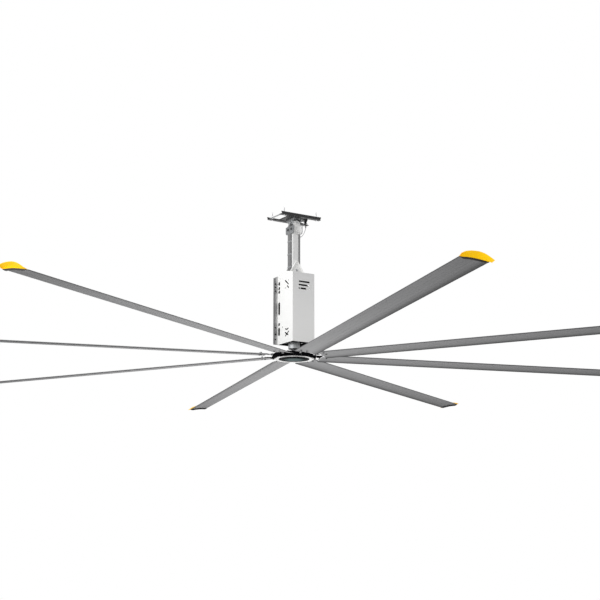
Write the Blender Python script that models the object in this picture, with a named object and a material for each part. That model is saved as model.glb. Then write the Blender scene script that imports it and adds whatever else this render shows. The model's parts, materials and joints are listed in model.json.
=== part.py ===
# High volume low speed ceiling fan with eight extruded blades, in metres, +Z up.
# The origin is the middle of the beam seat, which is the top face of the mounting plate.
# +X runs along the two angle irons and the slotted front of the motor frame, which faces -Y.

import math

import bmesh
import bpy
from mathutils import Matrix, Vector

# General fits
GAP = 0.0003
RUNNING = 0.0004
OVERRUN = 0.004
WELD = 0.001

# Overall layout, heights taken down from the beam seat
BLADE_COUNT = 8
ROTOR_RADIUS = 3.66
SEAT_TO_PIVOT = 0.047
SEAT_TO_FRAME_TOP = 0.513
FRAME_TO_BLADES = 0.101
ROTOR_REST_ANGLE = math.radians(-60.3)

# Mounting plate and angle irons
PLATE_LENGTH = 0.200
PLATE_THICK = 0.010
IRON_LENGTH = 0.410
IRON_FLANGE = 0.040
IRON_LEG = 0.025
IRON_THICK = 0.004
IRON_SPREAD = 0.245
IRON_END_CLIP = 0.012
STUD_RADIUS = 0.005
STUD_STAND = 0.055
STUD_INSET = 0.041
NUT_RADIUS = 0.010
NUT_HEIGHT = 0.008
STRAP_WIDTH = 0.018
STRAP_THICK = 0.003
STRAP_INSET = 0.006

# Universal swivel
YOKE_PLATE = 0.008
YOKE_WIDTH = 0.130
EAR_RADIUS = 0.016
TRUNNION_RADIUS = 0.008
CROSS_HEIGHT = 0.024
SIDE_PLATE_DROP = 0.031
SIDE_PLATE_HEIGHT = 0.070
SIDE_PLATE_ROUND = 0.018
SHOULDER_DROP = 0.034
EAR_HALF_WIDTH = 0.026
EAR_ARC = math.radians(140)
YOKE_BOLT_DROP = 0.060
YOKE_BOLT_INSET = 0.011
YOKE_BOLT_RADIUS = 0.005

# Drop tube
TUBE_SIZE = 0.076
TUBE_WALL = 0.004
TUBE_CHAMFER = 0.004
TUBE_TOP_DROP = 0.038
TUBE_BELOW_TOP = 0.045

# Safety cable, its bracket and ring
BRACKET_CLEAR = 0.0034
BRACKET_WIDTH = 0.060
BRACKET_CENTRE_Y = -0.030
BRACKET_THICK = 0.005
LUG_DROP = 0.030
LUG_HOLE_RADIUS = 0.006
LUG_HOLE_DROP = 0.020
RING_RADIUS = 0.014
RING_WIRE = 0.0032
CABLE_RADIUS = 0.003
FERRULE_RADIUS = 0.0055
FERRULE_LENGTH = 0.016
CABLE_END_Y = -0.018
CABLE_END_DROP = 0.165
CABLE_BULGE = 0.030
CABLE_STEPS = 22

# Motor frame, a channel of folded sheet with an open back
FRAME_LEFT = -0.094
FRAME_RIGHT = 0.126
FRAME_FRONT = -0.130
FRAME_BACK = 0.115
FRAME_HEIGHT = 0.608
SHEET = 0.003
FLANGE_WIDTH = 0.044
FLANGE_CLIP = 0.020
GABLE_RISE = 0.026
GABLE_HALF_FLAT = 0.015
COVER_THICK = 0.002
TOP_PLATE_THICK = 0.006
TOP_PLATE_SINK = 0.001
BASE_PLATE_RAISE = 0.011
BASE_PLATE_THICK = 0.008

# Gussets that grip the tube above the frame
GUSSET_HALF_WIDTH = 0.080
GUSSET_HEIGHT = 0.1235
GUSSET_TIP = 0.007
GUSSET_THICK = 0.006
GUSSET_FOOT = 0.026
GUSSET_FOOT_THICK = 0.004
GUSSET_LIP = 0.010
LIP_THICK = 0.0035
GUSSET_BOLT_RAISE = 0.036
GUSSET_BOLT_RADIUS = 0.005

# Vent slots in the frame's front, measured down from the frame's top
SLOT_HEIGHT = 0.015
FRONT_SLOT_LEFT = -0.035
FRONT_SLOT_LENGTH = 0.114
FRONT_SLOT_SHORT = 0.080
FRONT_SLOT_DROP = 0.081
FRONT_SLOT_PITCH = 0.030
FRONT_HOLE_RADIUS = 0.006

# Slots in the frame's sides. Places and lengths are shares: across the frame's depth from the front,
# down its height from the top, and of half a turn
SIDE_SLOT_WIDTH = 0.030
SIDE_SLOT_FROM_BACK = 0.021
SIDE_SLOT_SHARES = (
    (0.116, 0.061), (0.186, 0.042), (0.238, 0.042), (0.482, 0.194), (0.711, 0.042), (0.816, 0.127),
)
MARK_WIDTH = 0.012
MARK_SHARES = (
    (0.400, 0.130, 0.128, 0.205), (0.325, 0.199, 0.066, 0.225),
    (0.406, 0.873, 0.109, 0.161), (0.380, 0.875, 0.123, 0.822),
    (0.337, 0.807, 0.053, 0.883), (0.453, 0.805, 0.049, 0.139),
)
SIDE_DOT_RADIUS = 0.0055
SIDE_DOT_SHARES = ((0.278, 0.107), (0.490, 0.207), (0.682, 0.763))

# Gear reducer, two equal-ratio stages on two parallel axes
GEAR_MODULE = 0.0016
PINION_TEETH = 12
WHEEL_TEETH = 48
BACKLASH_SHARE = 0.86
TOOTH_TIP_SHARE = 0.9
TOOTH_ROOT_SHARE = 1.2
PRESSURE_ANGLE = math.radians(20)
LOW_GEAR_FACE = 0.020
HIGH_GEAR_FACE = 0.012
PINION_EXTRA = 0.002
GEAR_CLEAR = 0.004
REDUCER_WALL = 0.007
REDUCER_FLOOR = 0.012
REDUCER_CLEAR = 0.004
NECK_RADIUS = 0.050
NECK_LENGTH = 0.064
OUTPUT_RADIUS = 0.020
LAYSHAFT_RADIUS = 0.0075
JOURNAL_DEPTH = 0.006
BEARING_RADIUS = 0.045
BEARING_HEIGHT = 0.018
BEARING_RAISE = 0.010
SHAFT_FLANGE_RADIUS = 0.046
SHAFT_FLANGE_THICK = 0.012
PILOT_DEPTH = 0.015

# Motor
MOTOR_FLANGE = 0.012
MOTOR_END_WALL = 0.011
MOTOR_LENGTH = 0.245
MOTOR_RADIUS = 0.068
FIN_COUNT = 20
FIN_HEIGHT = 0.009
FIN_SHARE = 0.42
STATOR_OUTER = 0.060
STATOR_INNER = 0.037
STATOR_INSET = 0.020
ROTOR_CORE_RADIUS = 0.0355
MOTOR_SHAFT_RADIUS = 0.0080
COWL_HEIGHT = 0.055
COWL_WALL = 0.0025
COWL_INLET_RADIUS = 0.040
COWL_END_WALL = 0.008
FAN_RADIUS = 0.058
FAN_THICK = 0.010
TERMINAL_DEPTH = 0.038
TERMINAL_HALF_WIDTH = 0.040
TERMINAL_HEIGHT = 0.110
TERMINAL_RAISE = 0.060

# Hub
HUB_APOTHEM = 0.178
HUB_THICK = 0.041
HUB_RISE = 0.0125
CORNER_BLUNT = math.radians(2.3)
POCKET_START = 0.118
RING_APOTHEM = 0.164
RING_INNER = 0.133
RING_THICK = 0.005
RING_SIDES = 36
CAP_THICK = 0.005
CAP_DOME = 0.006
CAP_DOME_RADIUS = 0.098

# Blades and their root struts
BLADE_CHORD = 0.194
BLADE_PITCH = math.radians(5.2)
BLADE_ROOT = 0.245
BLADE_WALL = 0.0020
SPAR_CELL_START_SHARE = 0.13
SPAR_CELL_END_SHARE = 0.58
TAIL_CELL_END_SHARE = 0.84
CELL_KINK_SHARES = (0.27, 0.42)
UPPER_SHARES = ((0.0, 0.0), (0.012, 0.017), (0.05, 0.0405), (0.13, 0.0650), (0.27, 0.0730), (0.45, 0.0683),
                (0.58, 0.0620), (0.80, 0.0240), (1.0, -0.024))
LOWER_SHARES = ((1.0, -0.034), (0.80, -0.012), (0.58, 0.006), (0.42, 0.012), (0.25, 0.006), (0.13, -0.004),
                (0.05, -0.010), (0.012, -0.008))
STRUT_WIDTH = 0.070
STRUT_THICK = 0.005
STRUT_END = 0.400
ROOT_BOLT_RADIUS = 0.0045
ROOT_BOLT_REACH = 0.300
ROOT_BOLT_SPREAD = 0.052
ROOT_HEAD_RADIUS = 0.0085
ROOT_HEAD_HEIGHT = 0.006

# Winglet on each blade tip
FIN_PEAK = 0.0233
FIN_LEAN = 0.040
FIN_DECK_LEAN_SHARE = 0.18
FIN_WALL = 0.004
FIN_LEAD = 0.004
FIN_TRAIL = 0.014
FIN_SWEEP = 0.004
FIN_STATIONS = 11
FIN_BEND_SHARES = (0.50, 0.54)
FIN_TAPER_SHARE = 0.5
FIN_RISE_SHARES = (0.43, 0.52, 0.68, 0.84, 0.95, 1.0, 0.98, 0.92, 0.74, 0.50, 0.23)
FIN_DROOP_SHARE = 0.25
TONGUE_LENGTH = 0.030
TONGUE_THICK = 0.0048

# Places worked out from the sizes above
UNDER_PLATE = -PLATE_THICK - GAP
IRON_TOP = UNDER_PLATE
PIVOT_Z = -SEAT_TO_PIVOT
YOKE_INNER = TUBE_SIZE / 2 + GAP
EAR_INNER = YOKE_INNER + GAP
EAR_OUTER = EAR_INNER + YOKE_PLATE
FRAME_TOP = -SEAT_TO_FRAME_TOP
FRAME_BOTTOM = FRAME_TOP - FRAME_HEIGHT
BASE_BOTTOM = FRAME_BOTTOM + BASE_PLATE_RAISE
BASE_TOP = BASE_BOTTOM + BASE_PLATE_THICK
BLADE_Z = FRAME_BOTTOM - FRAME_TO_BLADES
HUB_TOP = BLADE_Z + HUB_RISE
HUB_FOOT = HUB_RISE - HUB_THICK
GEAR_DISTANCE = GEAR_MODULE * (PINION_TEETH + WHEEL_TEETH) / 2
WHEEL_TIP = GEAR_MODULE * (WHEEL_TEETH / 2 + 1)
REDUCER_BOTTOM = BASE_TOP + GAP
REDUCER_RADIUS = WHEEL_TIP + REDUCER_CLEAR + REDUCER_WALL
FLOOR_TOP = REDUCER_BOTTOM + REDUCER_FLOOR
LOW_GEAR_Z = FLOOR_TOP + GEAR_CLEAR
OUTPUT_TOP = LOW_GEAR_Z + LOW_GEAR_FACE + GEAR_CLEAR
HIGH_GEAR_Z = OUTPUT_TOP + GEAR_CLEAR + PINION_EXTRA
REDUCER_TOP = HIGH_GEAR_Z + HIGH_GEAR_FACE + PINION_EXTRA + GEAR_CLEAR
MOTOR_BOTTOM = REDUCER_TOP + GAP
MOTOR_BODY_Z = MOTOR_BOTTOM + MOTOR_FLANGE
MOTOR_TOP = MOTOR_BODY_Z + MOTOR_LENGTH
COWL_BOTTOM = MOTOR_TOP + GAP
COWL_TOP = COWL_BOTTOM + COWL_HEIGHT
SPAR_SHARE = (SPAR_CELL_START_SHARE + SPAR_CELL_END_SHARE) / 2


def clear_scene():
    for item in list(bpy.data.objects):
        bpy.data.objects.remove(item, do_unlink=True)


def material(name, colour, roughness, metallic):
    made = bpy.data.materials.new(name)
    made.use_nodes = True
    shader = made.node_tree.nodes["Principled BSDF"]
    shader.inputs["Base Color"].default_value = (*colour, 1.0)
    shader.inputs["Roughness"].default_value = roughness
    shader.inputs["Metallic"].default_value = metallic
    return made


BLACK_STEEL = ((0.02, 0.02, 0.022), 0.45, 0.3)
ZINC_STEEL = ((0.42, 0.43, 0.44), 0.40, 0.8)
BOLT_STEEL = ((0.18, 0.18, 0.19), 0.38, 0.9)
GREY_PAINT = ((0.60, 0.60, 0.60), 0.50, 0.1)
WHITE_PAINT = ((0.80, 0.80, 0.79), 0.45, 0.0)
BLADE_METAL = ((0.30, 0.30, 0.31), 0.42, 0.7)
YELLOW_PLASTIC = ((0.90, 0.52, 0.01), 0.40, 0.0)
CAST_METAL = ((0.55, 0.56, 0.57), 0.50, 0.6)
MOTOR_PAINT = ((0.20, 0.24, 0.28), 0.50, 0.2)
COPPER_STACK = ((0.40, 0.22, 0.12), 0.50, 0.7)
CAP_GLOSS = ((0.06, 0.08, 0.08), 0.15, 0.2)


def add_object(name, mesh, finish=None, parent=None):
    made = bpy.data.objects.new(name, mesh)
    bpy.context.scene.collection.objects.link(made)
    if finish is not None:
        made.data.materials.append(material(name + "_finish", *finish))
    if parent is not None:
        made.parent = parent
    return made


def axis_empty(name, place, parent=None):
    made = bpy.data.objects.new(name, None)
    bpy.context.scene.collection.objects.link(made)
    made.location = place
    made.empty_display_size = TUBE_SIZE
    if parent is not None:
        made.parent = parent
        made.location = Vector(place) - parent.location
    return made


def finish_mesh(name, shape, smooth_angle=None):
    bmesh.ops.recalc_face_normals(shape, faces=shape.faces)
    mesh = bpy.data.meshes.new(name)
    shape.to_mesh(mesh)
    shape.free()
    if smooth_angle is not None:
        mesh.shade_smooth()
        mesh.set_sharp_from_angle(angle=smooth_angle)
    return mesh


# Matrices that lay a flat outline in a plane: its third direction is the way it is thickened
def plane_xy(z=0.0):
    return Matrix.Translation((0, 0, z))


def plane_xz(y=0.0):
    return Matrix(((1, 0, 0, 0), (0, 0, 1, y), (0, 1, 0, 0), (0, 0, 0, 1)))


def plane_yz(x=0.0):
    return Matrix(((0, 0, 1, x), (1, 0, 0, 0), (0, 1, 0, 0), (0, 0, 0, 1)))


def slab_mesh(name, outline, thick, place, holes=(), smooth_angle=None):
    """A flat outline with any holes, thickened along its plane's third direction."""
    shape = bmesh.new()
    edges = []
    for loop in (outline, *holes):
        points = [shape.verts.new((u, v, 0)) for u, v in loop]
        edges += [shape.edges.new((a, b)) for a, b in zip(points, points[1:] + points[:1])]
    bmesh.ops.triangle_fill(shape, use_beauty=True, use_dissolve=False, edges=edges)
    pushed = bmesh.ops.extrude_face_region(shape, geom=list(shape.faces), use_keep_orig=True)
    moved = [item for item in pushed["geom"] if isinstance(item, bmesh.types.BMVert)]
    bmesh.ops.translate(shape, verts=moved, vec=(0, 0, thick))
    bmesh.ops.transform(shape, matrix=place, verts=shape.verts)
    return finish_mesh(name, shape, smooth_angle)


def box_mesh(name, low, high):
    shape = bmesh.new()
    bmesh.ops.create_cube(shape, size=1)
    size = Vector(high) - Vector(low)
    middle = (Vector(high) + Vector(low)) / 2
    place = Matrix.Translation(middle) @ Matrix.Diagonal((*size, 1))
    bmesh.ops.transform(shape, matrix=place, verts=shape.verts)
    return finish_mesh(name, shape)


def turned_mesh(name, profile, sides, place=Matrix.Identity(4), smooth_angle=math.radians(40)):
    """A profile of (radius, height) turned about its third axis; ends at radius zero close on the axis."""
    shape = bmesh.new()
    turns = [2 * math.pi * (step + 0.5) / sides for step in range(sides)]
    rings = []
    for radius, height in profile:
        if radius == 0:
            rings.append([shape.verts.new((0, 0, height))])
        else:
            rings.append([shape.verts.new((radius * math.cos(a), radius * math.sin(a), height))
                          for a in turns])
    pairs = list(zip(rings, rings[1:]))
    if len(rings[0]) > 1:
        pairs.append((rings[-1], rings[0]))
    for lower, upper in pairs:
        pole, ring = (lower, upper) if len(lower) == 1 else (upper, lower)
        if len(pole) == 1 and pole[0].co.z == ring[0].co.z:
            shape.faces.new(ring)
            shape.verts.remove(pole[0])
            continue
        for step in range(sides):
            after = (step + 1) % sides
            corners = [lower[step % len(lower)], lower[after % len(lower)],
                       upper[after % len(upper)], upper[step % len(upper)]]
            shape.faces.new(list(dict.fromkeys(corners)))
    bmesh.ops.transform(shape, matrix=place, verts=shape.verts)
    return finish_mesh(name, shape, smooth_angle)


def rod_profile(radius, start, end):
    return [(0, start), (radius, start), (radius, end), (0, end)]


def combine(target, tools, operation="DIFFERENCE"):
    """Cuts or joins the tools' meshes into the target object, one Boolean each, and keeps the result."""
    helpers = []
    for count, mesh in enumerate(tools):
        helper = bpy.data.objects.new(target.name + "_tool_" + str(count), mesh)
        bpy.context.scene.collection.objects.link(helper)
        helper.hide_render = True
        helper.display_type = "WIRE"
        helper.parent = target.parent
        helpers.append(helper)
        step = target.modifiers.new("step", "BOOLEAN")
        step.solver = "EXACT"
        step.operation = operation
        step.object = helper
    bpy.context.view_layer.update()
    graph = bpy.context.evaluated_depsgraph_get()
    result = bpy.data.meshes.new_from_object(target.evaluated_get(graph))
    target.modifiers.clear()
    target.data = result
    for helper in helpers:
        bpy.data.objects.remove(helper, do_unlink=True)
    return target


def circle(radius, sides, centre=(0, 0), turn=0.5):
    steps = [2 * math.pi * (step + turn) / sides for step in range(sides)]
    return [(centre[0] + radius * math.cos(a), centre[1] + radius * math.sin(a)) for a in steps]


def slot_outline(length, width, centre, turn=0.0, arc_steps=3):
    """A round-ended slot, its length taken end to end, or a round hole if it is no longer than wide."""
    reach = (length - width) / 2
    if reach <= 0:
        return circle(width / 2, 4 * arc_steps, centre)
    points = []
    for side in (1, -1):
        for step in range(arc_steps + 1):
            angle = -math.pi / 2 + math.pi * step / arc_steps
            points.append((side * (reach + width / 2 * math.cos(angle)), side * width / 2 * math.sin(angle)))
    cos, sin = math.cos(turn), math.sin(turn)
    return [(centre[0] + u * cos - v * sin, centre[1] + u * sin + v * cos) for u, v in points]


def round_end_plate(half_top, top, half_end, end_round, bottom):
    """A plate outline, square at the top, with two rounded lower corners."""
    points = [(-half_top, top)]
    for side, start in ((-1, math.pi), (1, 1.5 * math.pi)):
        for step in range(4):
            angle = start + math.pi / 2 * step / 3
            points.append((side * (half_end - end_round) + end_round * math.cos(angle),
                           bottom + end_round + end_round * math.sin(angle)))
    points.append((half_top, top))
    return points


def ear_outline(half_base, base, centre, radius, steps=8):
    """A tapering ear that ends in a round boss about its bore."""
    way = 1 if centre > base else -1
    points = [(-half_base, base)]
    for step in range(steps + 1):
        angle = math.pi / 2 + EAR_ARC * (0.5 - step / steps)
        points.append((radius * math.cos(angle), centre + way * radius * math.sin(angle)))
    points.append((half_base, base))
    return points


def bolt_profile(shank, head, head_height, start, end):
    """A bolt through the stretch from start to end, with a head before it and a nut after it."""
    return [(0, start - head_height), (head, start - head_height), (head, start), (shank, start),
            (shank, end), (head, end), (head, end + head_height), (0, end + head_height)]


def gear_outline(teeth, phase):
    """Straight-flanked teeth on the module's pitch circle, narrowed for backlash."""
    pitch = GEAR_MODULE * teeth / 2
    tip, root = pitch + TOOTH_TIP_SHARE * GEAR_MODULE, pitch - TOOTH_ROOT_SHARE * GEAR_MODULE
    slope = GEAR_MODULE * math.tan(PRESSURE_ANGLE) / pitch
    half = math.pi / (2 * teeth) * BACKLASH_SHARE
    wide, narrow = half + TOOTH_ROOT_SHARE * slope, half - TOOTH_TIP_SHARE * slope
    points = []
    for tooth in range(teeth):
        middle = 2 * math.pi * (tooth + phase) / teeth
        for radius, spread in ((root, -wide), (tip, -narrow), (tip, narrow), (root, wide)):
            points.append((radius * math.cos(middle + spread), radius * math.sin(middle + spread)))
    return points


def make_mounting():
    leg_gap = IRON_SPREAD / 2 - IRON_THICK - GAP
    add_object("mounting_plate", box_mesh("mounting_plate", (-PLATE_LENGTH / 2, -leg_gap, -PLATE_THICK),
               (PLATE_LENGTH / 2, leg_gap, 0)), ZINC_STEEL)
    bottom, half = IRON_TOP - IRON_THICK, IRON_LENGTH / 2
    stud_y = IRON_SPREAD / 2 - IRON_THICK - (IRON_FLANGE - IRON_THICK) / 2
    stud_x = half - STUD_INSET
    stud_number = 0
    for name, side in (("front_angle_iron", -1), ("rear_angle_iron", 1)):
        outer, inner = side * IRON_SPREAD / 2, side * (IRON_SPREAD / 2 - IRON_FLANGE)
        leg_inner = side * (IRON_SPREAD / 2 - IRON_THICK)
        section = [(outer, bottom), (inner, bottom), (inner, IRON_TOP), (leg_inner, IRON_TOP),
                   (leg_inner, bottom + IRON_LEG), (outer, bottom + IRON_LEG)]
        iron = add_object(name, slab_mesh(name, section, IRON_LENGTH, plane_yz(-half)), BLACK_STEEL)
        clips = []
        for end in (-1, 1):
            clip = [(end * half, bottom + IRON_LEG), (end * (half + OVERRUN), bottom + IRON_LEG + OVERRUN),
                    (end * (half + OVERRUN), bottom - OVERRUN),
                    (end * (half - IRON_END_CLIP), bottom - OVERRUN)]
            clips.append(slab_mesh("clip", clip, IRON_THICK + 2 * OVERRUN,
                                   plane_xz(min(outer, leg_inner) - OVERRUN)))
            hole = circle(STUD_RADIUS + GAP, 10, (end * stud_x, side * stud_y))
            clips.append(slab_mesh("hole", hole, IRON_THICK + 2 * OVERRUN, plane_xy(bottom - OVERRUN)))
        combine(iron, clips)
        for end in (-1, 1):
            stud_number += 1
            profile = [(0, bottom - GAP - NUT_HEIGHT), (NUT_RADIUS, bottom - GAP - NUT_HEIGHT),
                       (NUT_RADIUS, bottom - GAP), (STUD_RADIUS, bottom - GAP), (STUD_RADIUS, IRON_TOP + GAP),
                       (NUT_RADIUS, IRON_TOP + GAP), (NUT_RADIUS, IRON_TOP + GAP + NUT_HEIGHT),
                       (STUD_RADIUS, IRON_TOP + GAP + NUT_HEIGHT), (STUD_RADIUS, STUD_STAND), (0, STUD_STAND)]
            stud = "clamp_stud_" + str(stud_number)
            place = Matrix.Translation((end * stud_x, side * stud_y, 0))
            add_object(stud, turned_mesh(stud, profile, 10, place), BOLT_STEEL)
    left = -half + STRAP_INSET
    add_object("tie_strap", box_mesh("tie_strap", (left, -leg_gap, IRON_TOP + GAP),
               (left + STRAP_WIDTH, leg_gap, IRON_TOP + GAP + STRAP_THICK)), ZINC_STEEL)


def make_upper_yoke():
    base_bottom = UNDER_PLATE - YOKE_PLATE
    yoke = add_object("upper_yoke", box_mesh("upper_yoke", (-EAR_OUTER, -YOKE_WIDTH / 2, base_bottom),
                      (EAR_OUTER, YOKE_WIDTH / 2, UNDER_PLATE)), ZINC_STEEL)
    bore = circle(TRUNNION_RADIUS + RUNNING, 16, (0, PIVOT_Z))
    ear = ear_outline(YOKE_WIDTH / 2, base_bottom + WELD, PIVOT_Z, EAR_RADIUS)
    ears = [slab_mesh("ear", ear, YOKE_PLATE, plane_yz(start), [bore]) for start in (-EAR_OUTER, EAR_INNER)]
    combine(yoke, ears, "UNION")


def make_swivel(pivot):
    half = EAR_INNER - WELD
    cross = add_object("swivel_cross", box_mesh("swivel_cross", (-half, -half, -CROSS_HEIGHT / 2),
                       (half, half, CROSS_HEIGHT / 2)), CAST_METAL, pivot)
    reach = EAR_OUTER + YOKE_PLATE / 2
    pins = [turned_mesh("pin", rod_profile(TRUNNION_RADIUS, -reach, reach), 16, turn)
            for turn in (plane_yz(), plane_xz())]
    combine(cross, pins, "UNION")


def make_lower_yoke(pivot):
    plate_top, plate_bottom = -SIDE_PLATE_DROP, -SIDE_PLATE_DROP - SIDE_PLATE_HEIGHT
    plate = round_end_plate(YOKE_WIDTH / 2, plate_top, YOKE_WIDTH / 2, SIDE_PLATE_ROUND, plate_bottom)
    sides = [slab_mesh("side", plate, YOKE_PLATE, plane_yz(start))
             for start in (-YOKE_INNER - YOKE_PLATE, YOKE_INNER)]
    shoulder = YOKE_INNER + YOKE_PLATE - WELD
    strip = [(shoulder, plate_bottom + SIDE_PLATE_ROUND), (shoulder, -SHOULDER_DROP)]
    for step in range(9):
        angle = math.pi * step / 8
        strip.append((EAR_HALF_WIDTH * math.cos(angle), EAR_RADIUS * math.sin(angle)))
    strip += [(-shoulder, -SHOULDER_DROP), (-shoulder, plate_bottom + SIDE_PLATE_ROUND)]
    bore = circle(TRUNNION_RADIUS + RUNNING, 16)
    yoke = add_object("lower_yoke", slab_mesh("lower_yoke", strip, YOKE_PLATE, plane_xz(-EAR_OUTER), [bore]),
                      ZINC_STEEL, pivot)
    far_strip = slab_mesh("far", strip, YOKE_PLATE, plane_xz(EAR_INNER), [bore])
    combine(yoke, [*sides, far_strip], "UNION")
    return yoke


def square_outline(half, chamfer):
    points = []
    for a, b in ((1, 1), (-1, 1), (-1, -1), (1, -1)):
        first, second = (a * half, b * (half - chamfer)), (a * (half - chamfer), b * half)
        points += [first, second] if a == b else [second, first]
    return points


def make_tube_and_bolts(pivot, yoke):
    top, bottom = -TUBE_TOP_DROP, FRAME_TOP - TUBE_BELOW_TOP - PIVOT_Z
    half = TUBE_SIZE / 2
    bore = square_outline(half - TUBE_WALL, TUBE_CHAMFER / 2)
    tube = add_object("drop_tube", slab_mesh("drop_tube", square_outline(half, TUBE_CHAMFER), top - bottom,
                      plane_xy(bottom), [bore]), WHITE_PAINT, pivot)
    reach = YOKE_INNER + YOKE_PLATE
    holes = []
    for number, side in enumerate((-1, 1), start=1):
        across = side * (half - YOKE_BOLT_INSET)
        place = Matrix.Translation((0, across, -YOKE_BOLT_DROP)) @ plane_yz()
        hole = rod_profile(YOKE_BOLT_RADIUS + GAP, -reach - OVERRUN, reach + OVERRUN)
        holes.append(turned_mesh("hole", hole, 12, place))
        bolt = bolt_profile(YOKE_BOLT_RADIUS, NUT_RADIUS, NUT_HEIGHT, -reach - GAP, reach + GAP)
        name = "tube_bolt_" + str(number)
        add_object(name, turned_mesh(name, bolt, 12, place), BOLT_STEEL, pivot)
    combine(yoke, holes)
    gusset_reach = half + GAP + GUSSET_THICK
    place = Matrix.Translation((0, 0, FRAME_TOP + GUSSET_BOLT_RAISE - PIVOT_Z)) @ plane_xz()
    bolt = bolt_profile(GUSSET_BOLT_RADIUS, NUT_RADIUS, NUT_HEIGHT, -gusset_reach - GAP, gusset_reach + GAP)
    add_object("gusset_bolt", turned_mesh("gusset_bolt", bolt, 12, place), BOLT_STEEL, pivot)
    hole = rod_profile(GUSSET_BOLT_RADIUS + GAP, -gusset_reach - OVERRUN, gusset_reach + OVERRUN)
    combine(tube, [mesh.copy() for mesh in holes] + [turned_mesh("hole", hole, 12, place)])


def make_gussets(pivot):
    base = FRAME_TOP - TOP_PLATE_SINK + GAP - PIVOT_Z
    tip = base + GUSSET_HEIGHT
    outline = [(-GUSSET_HALF_WIDTH, base), (GUSSET_HALF_WIDTH, base), (GUSSET_TIP, tip - GUSSET_TIP / 2),
               (GUSSET_TIP / 2, tip), (-GUSSET_TIP / 2, tip), (-GUSSET_TIP, tip - GUSSET_TIP / 2)]
    hole = circle(GUSSET_BOLT_RADIUS + GAP, 12, (0, FRAME_TOP + GUSSET_BOLT_RAISE - PIVOT_Z))
    inner = TUBE_SIZE / 2 + GAP
    for name, side in (("front_gusset", -1), ("rear_gusset", 1)):
        near, far = side * inner, side * (inner + GUSSET_THICK)
        plate = add_object(name, slab_mesh(name, outline, GUSSET_THICK, plane_xz(min(near, far)), [hole]),
                           WHITE_PAINT, pivot)
        low_y, high_y = sorted((far - side * WELD, far + side * GUSSET_FOOT))
        foot = box_mesh("foot", (-GUSSET_HALF_WIDTH, low_y, base),
                        (GUSSET_HALF_WIDTH, high_y, base + GUSSET_FOOT_THICK))
        low_y, high_y = sorted((far - side * WELD, far + side * GUSSET_LIP))
        parts = [foot]
        for edge in (-1, 1):
            lip = [(edge * GUSSET_HALF_WIDTH, base), (edge * GUSSET_TIP, tip - GUSSET_TIP / 2),
                   (edge * (GUSSET_TIP - LIP_THICK), tip - GUSSET_TIP / 2),
                   (edge * (GUSSET_HALF_WIDTH - LIP_THICK), base)]
            parts.append(slab_mesh("lip", lip, high_y - low_y, plane_xz(low_y)))
        combine(plate, parts, "UNION")


def side_cutters():
    """Slots through both side walls."""
    top = FRAME_TOP - PIVOT_Z
    depth = FRAME_BACK - FRAME_FRONT
    place = plane_yz(FRAME_LEFT - OVERRUN)
    outlines = [slot_outline(length * FRAME_HEIGHT, SIDE_SLOT_WIDTH,
                             (FRAME_BACK - SIDE_SLOT_FROM_BACK, top - drop * FRAME_HEIGHT), math.pi / 2)
                for drop, length in SIDE_SLOT_SHARES]
    outlines += [circle(SIDE_DOT_RADIUS, 8, (FRAME_FRONT + across * depth, top - drop * FRAME_HEIGHT))
                 for across, drop in SIDE_DOT_SHARES]
    outlines += [slot_outline(length * FRAME_HEIGHT, MARK_WIDTH,
                              (FRAME_FRONT + across * depth, top - drop * FRAME_HEIGHT), turn * math.pi)
                 for across, drop, length, turn in MARK_SHARES]
    width = FRAME_RIGHT - FRAME_LEFT + 2 * OVERRUN
    return [slab_mesh("side_cut", outline, width, place) for outline in outlines]


def front_cutters():
    top = FRAME_TOP - PIVOT_Z
    depth = SHEET + 2 * OVERRUN
    place = plane_xz(FRAME_FRONT - OVERRUN)
    cutters = []
    for row, length in enumerate((FRONT_SLOT_LENGTH, FRONT_SLOT_LENGTH, FRONT_SLOT_SHORT)):
        height = top - FRONT_SLOT_DROP - row * FRONT_SLOT_PITCH
        centre = (FRONT_SLOT_LEFT + length / 2, height)
        cutters.append(slab_mesh("front_cut", slot_outline(length, SLOT_HEIGHT, centre), depth, place))
    centre = (FRONT_SLOT_LEFT + FRONT_SLOT_LENGTH, top - FRONT_SLOT_DROP - 2 * FRONT_SLOT_PITCH)
    cutters.append(slab_mesh("front_cut", circle(FRONT_HOLE_RADIUS, 10, centre), depth, place))
    return cutters


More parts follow.
